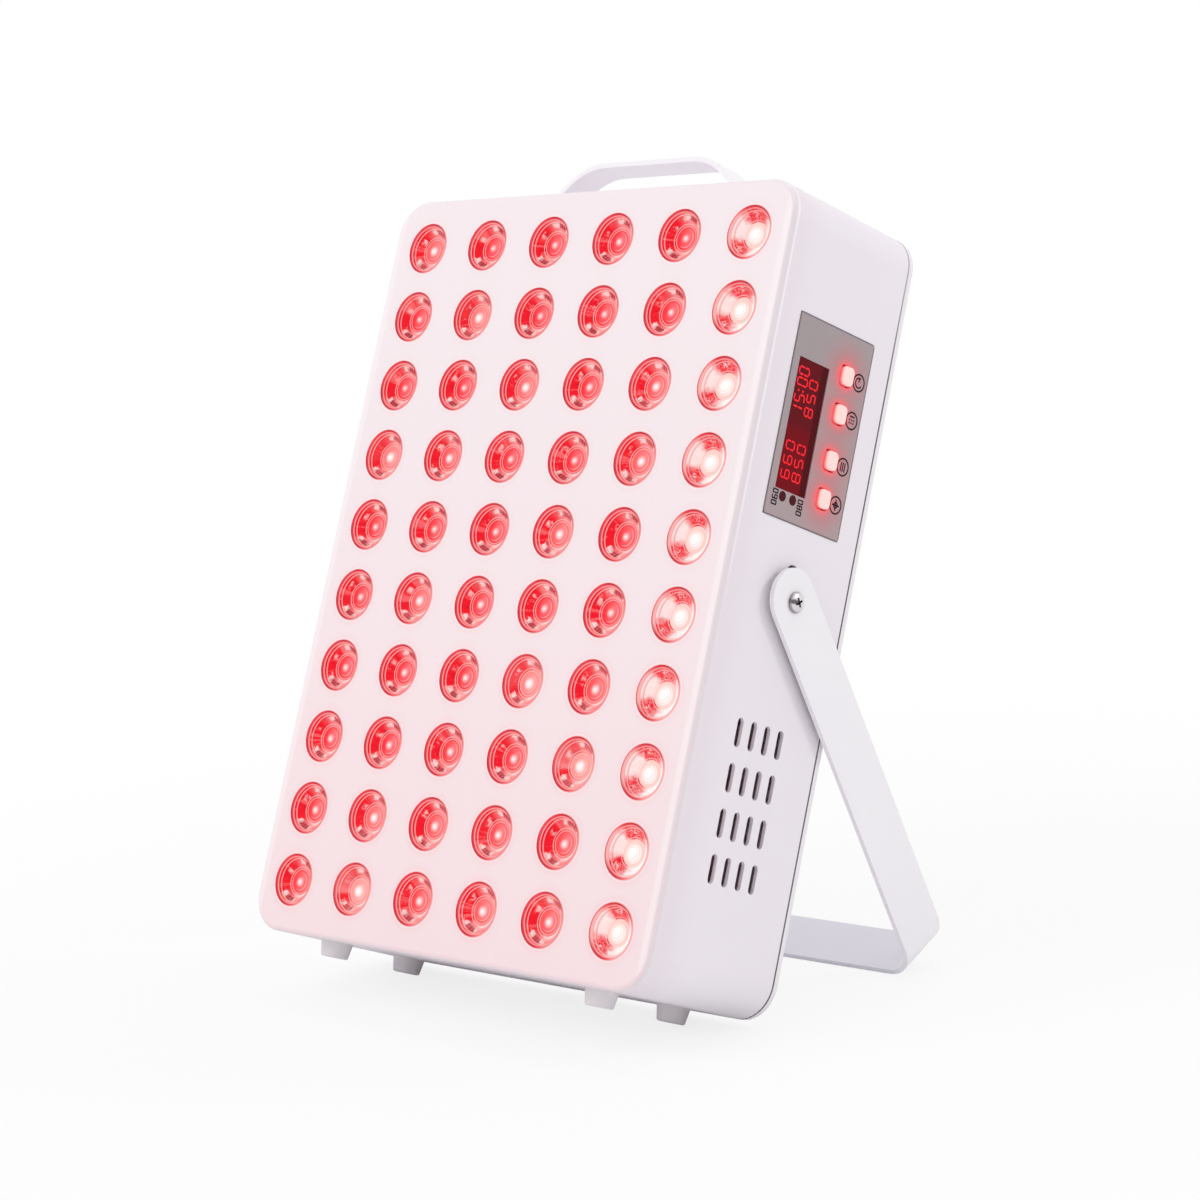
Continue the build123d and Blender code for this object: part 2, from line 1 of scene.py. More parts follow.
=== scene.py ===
import json
from itertools import product
from math import atan2, cos, pi, radians, sin, sqrt

import bpy
from mathutils import Euler, Matrix, Vector


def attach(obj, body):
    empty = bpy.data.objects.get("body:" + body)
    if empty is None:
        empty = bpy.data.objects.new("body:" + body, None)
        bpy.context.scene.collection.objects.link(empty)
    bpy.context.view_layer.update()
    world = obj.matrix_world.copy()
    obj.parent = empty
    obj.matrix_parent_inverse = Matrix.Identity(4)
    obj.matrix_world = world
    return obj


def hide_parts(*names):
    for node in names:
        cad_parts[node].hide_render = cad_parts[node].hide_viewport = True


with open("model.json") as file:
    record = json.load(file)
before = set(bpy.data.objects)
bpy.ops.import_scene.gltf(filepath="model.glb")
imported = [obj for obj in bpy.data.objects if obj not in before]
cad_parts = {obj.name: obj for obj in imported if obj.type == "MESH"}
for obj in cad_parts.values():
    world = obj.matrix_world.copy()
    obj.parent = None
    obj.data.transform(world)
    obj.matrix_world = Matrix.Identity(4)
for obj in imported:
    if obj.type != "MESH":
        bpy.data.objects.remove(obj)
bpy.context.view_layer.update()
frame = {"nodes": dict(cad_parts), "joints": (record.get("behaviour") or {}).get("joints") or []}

# Panel frame, in millimetres: X to the right seen from the lamp side, Y back from the
# lamp face, Z up along the panel, origin at the centre of the lamp face.
MM = 0.001
JOINTS = {joint["name"]: joint for joint in frame["joints"]}
FAN_AXIS = JOINTS["fan_spin"]["axis"]
LEAN = atan2(-FAN_AXIS[2], FAN_AXIS[1])
PIVOT_Y = 36.6
TURN = Matrix.Rotation(-LEAN, 4, "X")
PIVOT = Vector(JOINTS["stand_swing"]["pos_m"])
ORIGIN = PIVOT - TURN @ Vector((0, PIVOT_Y * MM, 0))
PANEL = Matrix.Translation(ORIGIN) @ TURN @ Matrix.Scale(MM, 4)

# Case: SIDE is half its width and TOP half its height
SIDE = 108.0
TOP = 152.5
CASE_CORNER = 14.5
TRAY_DEPTH = 70.0
COVER_BACK = TRAY_DEPTH + 2.5
SEAM_FRONT = TRAY_DEPTH - 0.45
SEAM_BACK = TRAY_DEPTH + 0.32
SEAM_PROUD = 0.03
SEAM_SUNK = 0.9
COVER_SCREW_INSET = 6.0
COVER_SCREW_Z = 95.0
COVER_SCREW_RADIUS = 2.7
COVER_SCREW_HEIGHT = 1.3

# Lamps
LENS_COLUMNS = 6
LENS_ROWS = 10
LENS_PITCH_X = 35.0
LENS_PITCH_Z = 29.25
LENS_RADIUS = 10.6
LENS_SEGMENTS = 42
DISH_WIDTH = 3.43
DISH_DEPTH = 2.25
DOME_RADIUS = 4.2
DOME_FOOT = 4.25
DOME_RISE = 1.45

# Feet, handle and the screws of the stand
FOOT_X = SIDE - 34.8
FOOT_ROWS = (16.8, TRAY_DEPTH - 13.1)
FOOT_HEIGHT = 6.2
FOOT_RADIUS = 6.5
FOOT_END_RADIUS = 5.5
STRAP_THICKNESS = 2.0
RIVET_X = 66.5
RIVET_ROWS = (31.0, 38.0)
RIVET_RADIUS = 1.9
RIVET_HEIGHT = 0.9
STAND_GAP = 2.3
SCREW_PLAY = 0.1
SCREW_SEAT = SIDE + STAND_GAP + STRAP_THICKNESS + SCREW_PLAY
SCREW_SHANK_RADIUS = 2.45
SCREW_SHANK_LENGTH = 12.0
SCREW_HEAD_RADIUS = 4.0
SCREW_TURN = 35.0

# Control unit, on the right side
OVERLAY_Y = 36.2
OVERLAY_Z = 66.75
OVERLAY_WIDTH = 44.6
OVERLAY_HEIGHT = 77.1
OVERLAY_CORNER = 1.6
OVERLAY_FACE = SIDE + 0.22
OVERLAY_BACK = SIDE - 1.4
WINDOW_Y = OVERLAY_Y - 9.5
WINDOW_Z = OVERLAY_Z - 2.7
WINDOW_WIDTH = 17.6
WINDOW_HEIGHT = 50.0
WINDOW_CORNER = 0.3
WINDOW_FACE = SIDE - 0.1
BUTTON_Y = OVERLAY_Y + 9.2
BUTTON_Z = OVERLAY_Z - 1.3
BUTTON_NEAR = 9.0
BUTTON_FAR = BUTTON_NEAR + 14.8
BUTTON_ROWS = [BUTTON_Z + off for off in (BUTTON_FAR, BUTTON_NEAR, -BUTTON_NEAR, -BUTTON_FAR)]
BUTTON_WIDTH = 6.2
BUTTON_HEIGHT = 7.2
BUTTON_CORNER = 2.0
BUTTON_BEVEL = 0.55
BUTTON_FACE = SIDE + 1.75
BUTTON_BACK = SIDE - 3.6
BUTTON_HOLE_WIDTH = BUTTON_WIDTH + 0.5
BUTTON_HOLE_HEIGHT = BUTTON_HEIGHT + 1.1
BUTTON_HOLE_CORNER = 1.3

# Print on the control plate
PRINT_FACE = OVERLAY_FACE + 0.03
PRINT_BACK = OVERLAY_FACE - 0.05
ICON_Y = OVERLAY_Y + 17.0
ICON_DROP = 0.3
ICON_RADIUS = 3.55
ICON_INNER_RADIUS = 2.9
ICON_STROKE = 0.6
DOT_COLUMNS = (WINDOW_Y - 3.8, WINDOW_Y + 2.2)
DOT_Z = OVERLAY_Z - 30.05
DOT_RADIUS = 1.95

# Row of the mains inlet and the rocker switch, low on the back
REAR_ROW_Z = 34.5 - TOP
SWITCH_X = 14.0
ROCKER_TILT = 8.0
ROCKER_RISE = 1.25
ROCKER_SLOPE = 0.311
INLET_X = 60.0
PIN_PITCH = 7.0
PIN_RISE = 1.8
PIN_END = COVER_BACK - 16.0

# Camera of the photograph, in the panel frame: place, and turn in degrees
CAMERA_PLACE = (851.405, -816.698, -174.742)
CAMERA_TURN = (98.3107, -11.2562, 42.8538)
CAMERA_LENS = 93.0

# Small hole that stands in for the pole of a turned shape
POLE = 0.02
# Signs of the corners of a square, going round
SQUARE = ((-1, -1), (1, -1), (1, 1), (-1, 1))


def srgb(red, green, blue):
    """Linear colour of display values from 0 to 255."""
    out = []
    for value in (red, green, blue):
        part = value / 255
        out.append(part / 12.92 if part <= 0.04045 else ((part + 0.055) / 1.055) ** 2.4)
    return (*out, 1.0)


class Graph:
    """A node material, or the world, with short calls for the nodes used here."""

    def __init__(self, name, kind="Material"):
        self.owner = bpy.data.worlds.new(name) if kind == "World" else bpy.data.materials.new(name)
        self.owner.use_nodes = True
        self.tree = self.owner.node_tree
        self.tree.nodes.clear()
        self.output = self.node(f"ShaderNodeOutput{kind}")

    def set(self, socket, value):
        if isinstance(value, bpy.types.NodeSocket):
            self.tree.links.new(value, socket)
        else:
            socket.default_value = value

    def node(self, kind, **inputs):
        """A node with values or links on its inputs."""
        made = self.tree.nodes.new(kind)
        for key, value in inputs.items():
            self.set(made.inputs[key.replace("_", " ")], value)
        return made

    def math(self, operation, *values, clamp=False):
        made = self.node("ShaderNodeMath")
        made.operation = operation
        made.use_clamp = clamp
        for socket, value in zip(made.inputs, values):
            self.set(socket, value)
        return made.outputs[0]

    def fold(self, operation, values):
        """One operation carried through a list of values."""
        total = values[0]
        for value in values[1:]:
            total = self.math(operation, total, value)
        return total

    def length(self, across, up):
        """Length of a flat vector."""
        squares = [self.math("MULTIPLY", part, part) for part in (across, up)]
        return self.math("SQRT", self.math("ADD", *squares))

    def away(self, value, centre):
        """How far a value is from a centre, to either side."""
        return self.math("ABSOLUTE", self.math("SUBTRACT", value, centre))

    def smooth(self, value, low, high):
        """0 below low, 1 above high, smooth between. low may be the larger one."""
        first, last = (0.0, 1.0) if low <= high else (1.0, 0.0)
        made = self.node("ShaderNodeMapRange", Value=value, To_Min=first, To_Max=last)
        made.interpolation_type = "SMOOTHSTEP"
        made.inputs["From Min"].default_value = min(low, high)
        made.inputs["From Max"].default_value = max(low, high)
        return made.outputs["Result"]

    def scaled(self, value, low, high):
        """Maps 0 to 1 onto low to high."""
        made = self.node("ShaderNodeMapRange", Value=value, To_Min=low, To_Max=high)
        return made.outputs["Result"]

    def mix(self, factor, first, second):
        made = self.node("ShaderNodeMix")
        made.data_type = "RGBA"
        self.set(made.inputs["Factor"], factor)
        sockets = [s for s in made.inputs if s.type == "RGBA"]
        self.set(sockets[0], first)
        self.set(sockets[1], second)
        return next(s for s in made.outputs if s.type == "RGBA")

    def over(self, base, tint, *masks):
        """A base colour with a tint laid over it, as strong as the product of the masks."""
        share = masks[0]
        for mask in masks[1:]:
            share = self.math("MULTIPLY", share, mask, clamp=True)
        return self.mix(share, base, tint)

    def noise(self, vector, scale, detail=3.0, rough=0.5):
        values = {"Scale": scale, "Detail": detail, "Roughness": rough}
        return self.node("ShaderNodeTexNoise", Vector=vector, **values).outputs["Fac"]

    def cells(self, vector, scale):
        return self.node("ShaderNodeTexVoronoi", Vector=vector, Scale=scale).outputs["Distance"]

    def split(self, vector):
        """X, Y and Z of a vector."""
        return self.node("ShaderNodeSeparateXYZ", Vector=vector).outputs

    def place(self):
        """Rest position in metres in the part's frame."""
        return self.node("ShaderNodeTexCoord").outputs["Object"]

    def panel(self):
        """Rest position in millimetres in the panel frame, as X, Y and Z."""
        mapping = self.node("ShaderNodeMapping")
        mapping.vector_type = "TEXTURE"
        self.set(mapping.inputs["Vector"], self.place())
        mapping.inputs["Location"].default_value = ORIGIN
        mapping.inputs["Rotation"].default_value = (-LEAN, 0, 0)
        mapping.inputs["Scale"].default_value = (MM, MM, MM)
        return self.split(mapping.outputs[0])

    def bump(self, height, strength, distance):
        made = self.node("ShaderNodeBump", Strength=strength, Distance=distance, Height=height)
        return made.outputs["Normal"]

    def surface(self, shader):
        self.set(self.output.inputs["Surface"], shader.outputs[0])
        return self.owner

    def principled(self, **values):
        return self.surface(self.node("ShaderNodeBsdfPrincipled", **values))

    def blend(self, share, first, second):
        """Surface of two shaders, the second as strong as the share."""
        made = self.node("ShaderNodeMixShader")
        self.set(made.inputs[0], share)
        self.set(made.inputs[1], first.outputs[0])
        self.set(made.inputs[2], second.outputs[0])
        return self.surface(made)


def lamp_distance(g, x, z):
    """Distance in millimetres to the nearest lamp centre on the face."""
    offsets = []
    for value, pitch in ((x, LENS_PITCH_X), (z, LENS_PITCH_Z)):
        half = pitch / 2
        offsets.append(g.math("WRAP", g.math("SUBTRACT", value, half), half, -half))
    return g.length(*offsets)


def ring_line(g, r, radius, half):
    """1 on a thin ring of a radius, 0 half a width and more away."""
    return g.smooth(g.away(r, radius), half, half * 0.4)


def powder_finish(g, spot, low, high):
    """Roughness and fine relief of a powder coat."""
    peel = g.noise(spot, 900.0, 2.0, 0.55)
    fine = g.noise(spot, 5200.0, 1.0)
    relief = g.math("MULTIPLY_ADD", fine, 0.35, peel)
    return {
        "Roughness": g.scaled(g.noise(spot, 60.0, 3.0), low, high),
        "Normal": g.bump(relief, 0.06, 0.0003),
    }


def make_paint():
    """White satin powder coat of the case, with painted pink light from the lamps on the face,
    painted highlights on its front edges and painted shade beside them.
    """
    g = Graph("white_powder_coat")
    spot = g.place()
    x, y, z = g.panel()
    cloud = g.noise(spot, 14.0, 2.0)
    colour = g.mix(cloud, srgb(240, 233, 240), srgb(245, 239, 245))
    # Painted shade: a soft darker band along the front of the sides
    colour = g.over(colour, srgb(239, 227, 234), g.smooth(y, 22.0, 4.0), 0.6)
    # Painted pink light from the lamps: the face a little paler and pinker than the sides
    front = g.smooth(y, 1.6, 0.2)
    colour = g.over(colour, srgb(247, 238, 241), front, 0.8)
    # Pink light on the face, which grows towards its foot, and a stronger ring at each lamp
    lamp = lamp_distance(g, x, z)
    inside = g.math("MULTIPLY", front, g.smooth(g.math("ABSOLUTE", z), TOP - 3.5, TOP - 7.5))
    height = g.smooth(z, 110.0, -150.0)
    wide = g.math("MULTIPLY_ADD", height, 0.34, 0.12)
    colour = g.over(colour, srgb(255, 216, 219), front, wide)
    halo = g.math("POWER", g.smooth(lamp, 15.0, 10.2), 1.8)
    near = g.math("MULTIPLY_ADD", height, 0.34, 0.20)
    colour = g.over(colour, srgb(255, 206, 210), halo, near, inside)
    # Painted highlight: a thin pale ring round the edge of each lamp's hole
    colour = g.over(colour, srgb(255, 252, 252), ring_line(g, lamp, 11.1, 0.45), inside, 0.4)
    # Paler strips along both sides of the face and a crest line on the bend are painted
    # highlights; the soft darker line on the bend is painted shade
    strip = g.smooth(g.math("ABSOLUTE", x), SIDE - 5.2, SIDE - 3.4)
    colour = g.over(colour, srgb(254, 245, 247), strip, g.smooth(y, 0.3, 0.05), 0.6)
    bend = g.math("MULTIPLY", g.smooth(y, 0.02, 0.35), g.smooth(y, 2.4, 1.9))
    colour = g.over(colour, srgb(221, 209, 216), bend, 0.15)
    crest_highlight = g.smooth(g.away(y, 2.7), 0.75, 0.3)
    colour = g.over(colour, srgb(255, 250, 253), crest_highlight, g.smooth(z, -20.0, 40.0), 0.75)
    return g.principled(Base_Color=colour, **powder_finish(g, spot, 0.36, 0.47))


def make_strap_paint():
    """Whiter powder coat of the handle and the stand, with painted cool shade on the bar near the
    floor.
    """
    g = Graph("white_strap_coat")
    spot = g.place()
    cloud = g.noise(spot, 18.0, 2.0)
    colour = g.mix(cloud, srgb(246, 242, 247), srgb(250, 247, 251))
    across, _, up = g.split(spot)
    between = g.smooth(g.math("ABSOLUTE", across), 0.107, 0.100)
    # Painted shade: cooler and darker on the bar between the arms near the floor
    colour = g.over(colour, srgb(226, 228, 238), g.smooth(up, 0.045, 0.010), between, 0.5)
    return g.principled(Base_Color=colour, **powder_finish(g, spot, 0.34, 0.45))


def lens_inputs(g):
    """Across and up in lens radii, distance from the lens axis, direction and glow."""
    stored = g.node("ShaderNodeAttribute")
    stored.attribute_name = "lens_uv"
    u, v, glow = g.split(stored.outputs["Vector"])
    return u, v, g.length(u, v), g.math("ARCTAN2", v, u), glow


def near_angle(g, angle, centre, width):
    """1 at a direction, falling to 0 at width on both sides, in degrees."""
    off = g.math("WRAP", g.math("SUBTRACT", angle, radians(centre)), pi, -pi)
    return g.smooth(g.math("ABSOLUTE", off), radians(width), radians(width * 0.35))


def rim_band(g, r, low, high):
    """1 between two radii, soft at both."""
    soft = 0.03
    above = g.smooth(r, low - soft, low + soft)
    below = g.smooth(r, high + soft, high - soft)
    return g.math("MULTIPLY", above, below)


def make_lens_dish():
    """Moulded wall of a lens, with its lamp's light painted in: red on the far side of the lamp,
    pale on the near side.
    """
    g = Graph("lens_dish_red")
    u, v, r, angle, glow = lens_inputs(g)
    spot = g.place()
    grain = g.noise(spot, 1500.0, 3.0, 0.6)
    streak = g.noise(spot, 360.0, 4.0, 0.65)
    warped = g.math("MULTIPLY_ADD", g.math("SUBTRACT", streak, 0.5), 0.9, angle)
    dim = g.math("SUBTRACT", 1.0, glow)
    bright = g.smooth(glow, 0.35, 0.75)
    # Rays out of the middle, which differ from lens to lens with its glow
    across, up = g.math("DIVIDE", u, r), g.math("DIVIDE", v, r)
    along = g.node("ShaderNodeCombineXYZ", X=across, Y=up, Z=g.math("MULTIPLY", glow, 40.0))
    rays = g.noise(along.outputs[0], 2.6, 4.0, 0.6)
    rays = g.math("MULTIPLY_ADD", grain, 0.25, rays)
    red = g.mix(grain, srgb(232, 0, 26), srgb(255, 22, 44))
    red = g.over(red, srgb(255, 120, 122), g.smooth(rays, 0.66, 0.78), 0.7)
    red = g.over(red, srgb(190, 0, 26), g.smooth(rays, 0.58, 0.46), g.smooth(r, 0.78, 0.58), 0.55)
    red = g.over(red, srgb(255, 150, 148), g.smooth(streak, 0.60, 0.76), 0.8)
    # Painted red glow as a wedge on the pale wall, broken up into patches
    pale = g.mix(streak, srgb(240, 72, 84), srgb(255, 190, 186))
    wedge = near_angle(g, warped, 170, 100)
    patchy = g.noise(spot, 240.0, 5.0, 0.7)
    patchy = g.math("MULTIPLY_ADD", patchy, 1.3, g.math("MULTIPLY", dim, 0.55))
    colour = g.over(pale, red, wedge, g.smooth(patchy, 0.62, 0.90))
    # Bright gleams and dark hatched fields round the wall
    band = rim_band(g, r, 0.66, 0.84)
    for centre, width, strength in ((90, 14, 0.7), (224, 13, 0.9), (268, 10, 0.7), (34, 10, 0.6)):
        gleam = near_angle(g, warped, centre, width)
        colour = g.over(colour, srgb(255, 226, 222), gleam, band, strength)
    wave = g.math("MULTIPLY_ADD", v, -24.0, g.math("MULTIPLY", u, 40.0))
    wave = g.math("SINE", g.math("MULTIPLY_ADD", streak, 9.0, wave))
    hatch = g.math("MULTIPLY_ADD", g.smooth(wave, -0.4, 0.5), 0.3, 0.70)
    for centre, dark in ((60, srgb(160, 16, 44)), (246, srgb(152, 10, 38))):
        colour = g.over(colour, dark, near_angle(g, warped, centre, 26), band, hatch, dim)
    # Painted red glow in grainy patches round the wall of the bright lenses
    red_glow_grain = g.smooth(grain, 0.36, 0.60)
    colour = g.over(colour, srgb(244, 22, 44), near_angle(g, warped, 88, 62), red_glow_grain, bright)
    colour = g.over(colour, srgb(240, 16, 40), near_angle(g, warped, 226, 44), red_glow_grain, bright)
    # Reflections on the lower right, and white light from the lamps that face the camera
    right = near_angle(g, angle, -24, 78)
    for radius in (0.60, 0.68):
        colour = g.over(colour, srgb(255, 232, 228), ring_line(g, r, radius, 0.022), right, 0.6)
    crescent = g.math("MULTIPLY", near_angle(g, warped, -44, 64), rim_band(g, r, 0.53, 0.64))
    colour = g.over(colour, srgb(255, 230, 225), crescent, 0.8)
    gleam = g.math("MULTIPLY", near_angle(g, warped, 150, 16), g.smooth(streak, 0.44, 0.60))
    colour = g.over(colour, srgb(255, 214, 210), gleam, rim_band(g, r, 0.58, 0.74), 0.7)
    white = g.math("MULTIPLY", near_angle(g, warped, -34, 96), bright)
    colour = g.over(colour, srgb(255, 250, 247), white, 0.95)
    flare = g.math("MULTIPLY", near_angle(g, warped, 160, 50), g.smooth(glow, 0.25, 0.80))
    colour = g.over(colour, srgb(255, 244, 241), flare, 0.85)
    # Painted highlight lines and a darker line at the steps of the wall
    colour = g.over(colour, srgb(206, 8, 36), ring_line(g, r, 0.808, 0.016), 0.45)
    colour = g.over(colour, srgb(255, 184, 182), ring_line(g, r, 0.835, 0.020), 0.75)
    colour = g.over(colour, srgb(255, 214, 210), ring_line(g, r, 0.545, 0.018), 0.6)
    return g.principled(
        Base_Color=srgb(60, 2, 6),
        Roughness=g.scaled(streak, 0.22, 0.36),
        Specular_IOR_Level=0.12,
        Emission_Color=colour,
        Emission_Strength=0.96,
        Normal=g.bump(streak, 0.12, 0.0004),
    )


def make_lens_rim():
    """Clear rim of a lens: thin pale and dark red rings, lit from within."""
    g = Graph("lens_rim_pink")
    _, _, r, angle, glow = lens_inputs(g)
    streak = g.noise(g.place(), 300.0, 4.0, 0.65)
    colour = g.mix(streak, srgb(214, 20, 42), srgb(244, 98, 106))
    dark = g.math("MAXIMUM", near_angle(g, angle, 56, 66), near_angle(g, angle, 222, 66))
    colour = g.over(colour, srgb(160, 8, 36), dark, rim_band(g, r, 0.935, 0.985), 0.9)
    # Painted light: a paler inner edge on the left of bright lenses and a paler right side
    lit = g.math("MULTIPLY", near_angle(g, angle, 170, 64), g.smooth(glow, 0.3, 0.8))
    colour = g.over(colour, srgb(255, 220, 216), lit, g.smooth(r, 0.97, 0.92), 0.7)
    right = near_angle(g, angle, -26, 70)
    colour = g.over(colour, srgb(255, 196, 194), right, g.math("MULTIPLY_ADD", glow, 0.8, 0.22))
    colour = g.over(colour, srgb(204, 8, 36), ring_line(g, r, 0.868, 0.016), 0.6)
    for radius, strength in ((0.996, 0.5), (0.896, 0.8)):
        colour = g.over(colour, srgb(255, 188, 186), ring_line(g, r, radius, 0.020), strength)
    return g.principled(
        Base_Color=srgb(110, 16, 24),
        Roughness=0.16,
        Specular_IOR_Level=0.2,
        Emission_Color=colour,
        Emission_Strength=0.86,
        Normal=g.bump(streak, 0.05, 0.0002),
    )


def make_lens_dome():
    """Domed middle of a lens in front of the lamp, its brightest spot."""
    g = Graph("lens_dome_glow")
    u, v, r, angle, glow = lens_inputs(g)
    streak = g.noise(g.place(), 360.0, 4.0, 0.65)
    spot = g.length(g.math("SUBTRACT", u, 0.06), g.math("ADD", v, 0.03))
    # Painted light: redder on the left and paler on the right, with pale rings and a darker ring
    # stronger on the right
    side = g.smooth(g.math("MULTIPLY_ADD", streak, 0.45, u), -0.20, 0.55)
    colour = g.mix(side, srgb(236, 18, 40), srgb(248, 98, 104))
    colour = g.over(colour, srgb(255, 212, 203), g.smooth(glow, 0.10, 0.72))
    right = g.math("MULTIPLY_ADD", near_angle(g, angle, -30, 110), 0.85, 0.15)
    colour = g.over(colour, srgb(255, 196, 192), ring_line(g, r, 0.455, 0.024), 0.6)
    colour = g.over(colour, srgb(255, 224, 218), ring_line(g, r, 0.345, 0.018), right, 0.45)
    shade = g.math("MULTIPLY_ADD", glow, -0.55, 0.60)
    colour = g.over(colour, srgb(216, 26, 46), ring_line(g, r, 0.408, 0.018), right, shade)
    # White lamp spot, wider with more glow, and rings round it in the brightest lenses
    reach = g.math("MULTIPLY_ADD", glow, 0.32, g.math("SUBTRACT", 0.045, spot))
    colour = g.over(colour, srgb(255, 253, 251), g.smooth(reach, -0.13, 0.13))
    bright = g.smooth(glow, 0.35, 0.75)
    for radius, half in ((0.21, 0.020), (0.30, 0.018), (0.385, 0.024)):
        colour = g.over(colour, srgb(255, 192, 180), ring_line(g, r, radius, half), bright, 0.5)
    return g.principled(
        Base_Color=srgb(120, 30, 34),
        Roughness=0.10,
        Specular_IOR_Level=0.2,
        Emission_Color=colour,
        Emission_Strength=0.96,
        Normal=g.bump(streak, 0.05, 0.0002),
    )


def make_overlay():
    """Grey film of the control plate, with red light round the buttons and a dark edge."""
    g = Graph("control_film_grey")
    spot = g.place()
    _, y, z = g.panel()
    grain = g.noise(spot, 2600.0, 2.0, 0.6)
    cloud = g.noise(spot, 45.0, 2.0)
    base = g.mix(cloud, srgb(153, 140, 143), srgb(165, 151, 154))
    base = g.mix(g.smooth(z, 92.0, 30.0), base, srgb(170, 150, 153))
    base = g.mix(g.math("MULTIPLY", grain, 0.25), base, srgb(190, 178, 180))
    across = g.math("SUBTRACT", y, BUTTON_Y)
    far = [g.length(g.math("SUBTRACT", z, row), across) for row in BUTTON_ROWS]
    nearest = g.fold("MINIMUM", far)
    wide = g.math("POWER", g.smooth(nearest, 20.5, 3.5), 1.8)
    base = g.over(base, srgb(212, 112, 118), wide, 0.66)
    halo = g.math("POWER", g.smooth(nearest, 8.6, 3.2), 1.5)
    base = g.over(base, srgb(248, 92, 100), halo, 0.66)
    edges = []
    for value, centre, size in ((y, OVERLAY_Y, OVERLAY_WIDTH), (z, OVERLAY_Z, OVERLAY_HEIGHT)):
        edges.append(g.smooth(g.away(value, centre), size / 2 - 0.65, size / 2 - 0.40))
    base = g.mix(g.math("MAXIMUM", *edges), base, srgb(112, 98, 102))
    return g.principled(
        Base_Color=base,
        Roughness=g.scaled(grain, 0.42, 0.56),
        Emission_Color=srgb(255, 60, 66),
        Emission_Strength=g.math("MULTIPLY", halo, 0.20),
        Normal=g.bump(grain, 0.08, 0.0001),
    )


def make_window():
    """Dark red display pane, with painted shade along its rear edge, and brighter in its lower
    half.
    """
    g = Graph("display_pane_red")
    spot = g.place()
    _, y, z = g.panel()
    mesh = g.cells(spot, 2400.0)
    # Painted shade along the rear edge of the pane
    right = g.smooth(y, WINDOW_Y + 5.6, WINDOW_Y + 4.9)
    low = g.smooth(z, WINDOW_Z + 1.5, WINDOW_Z - 2.5)
    lit = g.mix(low, srgb(106, 14, 24), srgb(126, 6, 20))
    colour = g.mix(right, srgb(78, 4, 12), lit)
    colour = g.mix(g.math("MULTIPLY", mesh, 0.35), colour, srgb(70, 3, 10))
    return g.principled(
        Base_Color=srgb(24, 1, 3),
        Roughness=g.scaled(g.noise(spot, 90.0), 0.12, 0.22),
        Specular_IOR_Level=0.06,
        Emission_Color=colour,
        Emission_Strength=0.9,
    )


def make_button():
    """Milky button cap lit red from inside, paler on top than at its foot."""
    g = Graph("button_milky_lit")
    x, _, _ = g.panel()
    rise = g.smooth(x, SIDE + 0.2, SIDE + 1.5)
    cloud = g.noise(g.place(), 480.0, 3.0)
    face = g.mix(cloud, srgb(255, 196, 190), srgb(255, 214, 208))
    return g.principled(
        Base_Color=g.mix(cloud, srgb(200, 150, 148), srgb(214, 166, 162)),
        Roughness=g.scaled(cloud, 0.34, 0.44),
        Emission_Color=g.mix(rise, srgb(226, 34, 46), face),
        Emission_Strength=0.62,
        Normal=g.bump(cloud, 0.05, 0.0001),
    )


def make_plain(name, first, second, scale, rough, metal=0.0, bump=0.1, **more):
    """Two close colours in a noise, with matching roughness and relief."""
    g = Graph(name)
    spot = g.place()
    cloud = g.noise(spot, scale, 4.0, 0.6)
    grain = g.noise(spot, scale * 9, 2.0, 0.6)
    return g.principled(
        Base_Color=g.mix(cloud, first, second),
        Roughness=g.scaled(grain, rough - 0.05, rough + 0.06),
        Metallic=metal,
        Normal=g.bump(grain, bump, 0.0002),
        **more,
    )


def make_chrome():
    """Bright plating with painted reflections: the dark band across it that a small dome reflects,
    and a darker edge.
    """
    g = Graph("screw_bright_plating")
    _, y, z = g.panel()
    spot = g.place()
    cloud = g.noise(spot, 220.0, 3.0)
    across = g.math("SUBTRACT", y, PIVOT_Y)
    colour = g.mix(cloud, srgb(208, 203, 207), srgb(230, 226, 229))
    # Painted reflections: a dark band across the head and a darker ring round its edge
    wave = g.math("MULTIPLY_ADD", g.math("SUBTRACT", cloud, 0.5), 1.2, z)
    band = g.smooth(g.math("ABSOLUTE", g.math("ADD", wave, 0.2)), 1.2, 0.4)
    colour = g.over(colour, srgb(80, 71, 75), band, g.smooth(across, 1.2, -0.6), 0.9)
    colour = g.over(colour, srgb(124, 115, 120), g.smooth(g.length(across, z), 3.3, 3.9), 0.7)
    return g.principled(
        Base_Color=colour,
        Roughness=g.scaled(cloud, 0.10, 0.20),
        Metallic=1.0,
        Normal=g.bump(g.noise(spot, 1800.0, 2.0), 0.02, 0.0001),
    )


def make_seam():
    """Grey strip in the joint of the cover, painted paler towards the top where more light falls
    in.
    """
    g = Graph("seam_joint_grey")
    _, _, z = g.panel()
    spot = g.place()
    cloud = g.noise(spot, 300.0, 4.0, 0.6)
    grain = g.noise(spot, 2700.0, 2.0, 0.6)
    colour = g.mix(cloud, srgb(86, 80, 84), srgb(104, 97, 101))
    return g.principled(
        Base_Color=g.over(colour, srgb(196, 190, 195), g.smooth(z, 84.0, 142.0), 0.85),
        Roughness=g.scaled(grain, 0.65, 0.76),
        Normal=g.bump(grain, 0.1, 0.0002),
    )


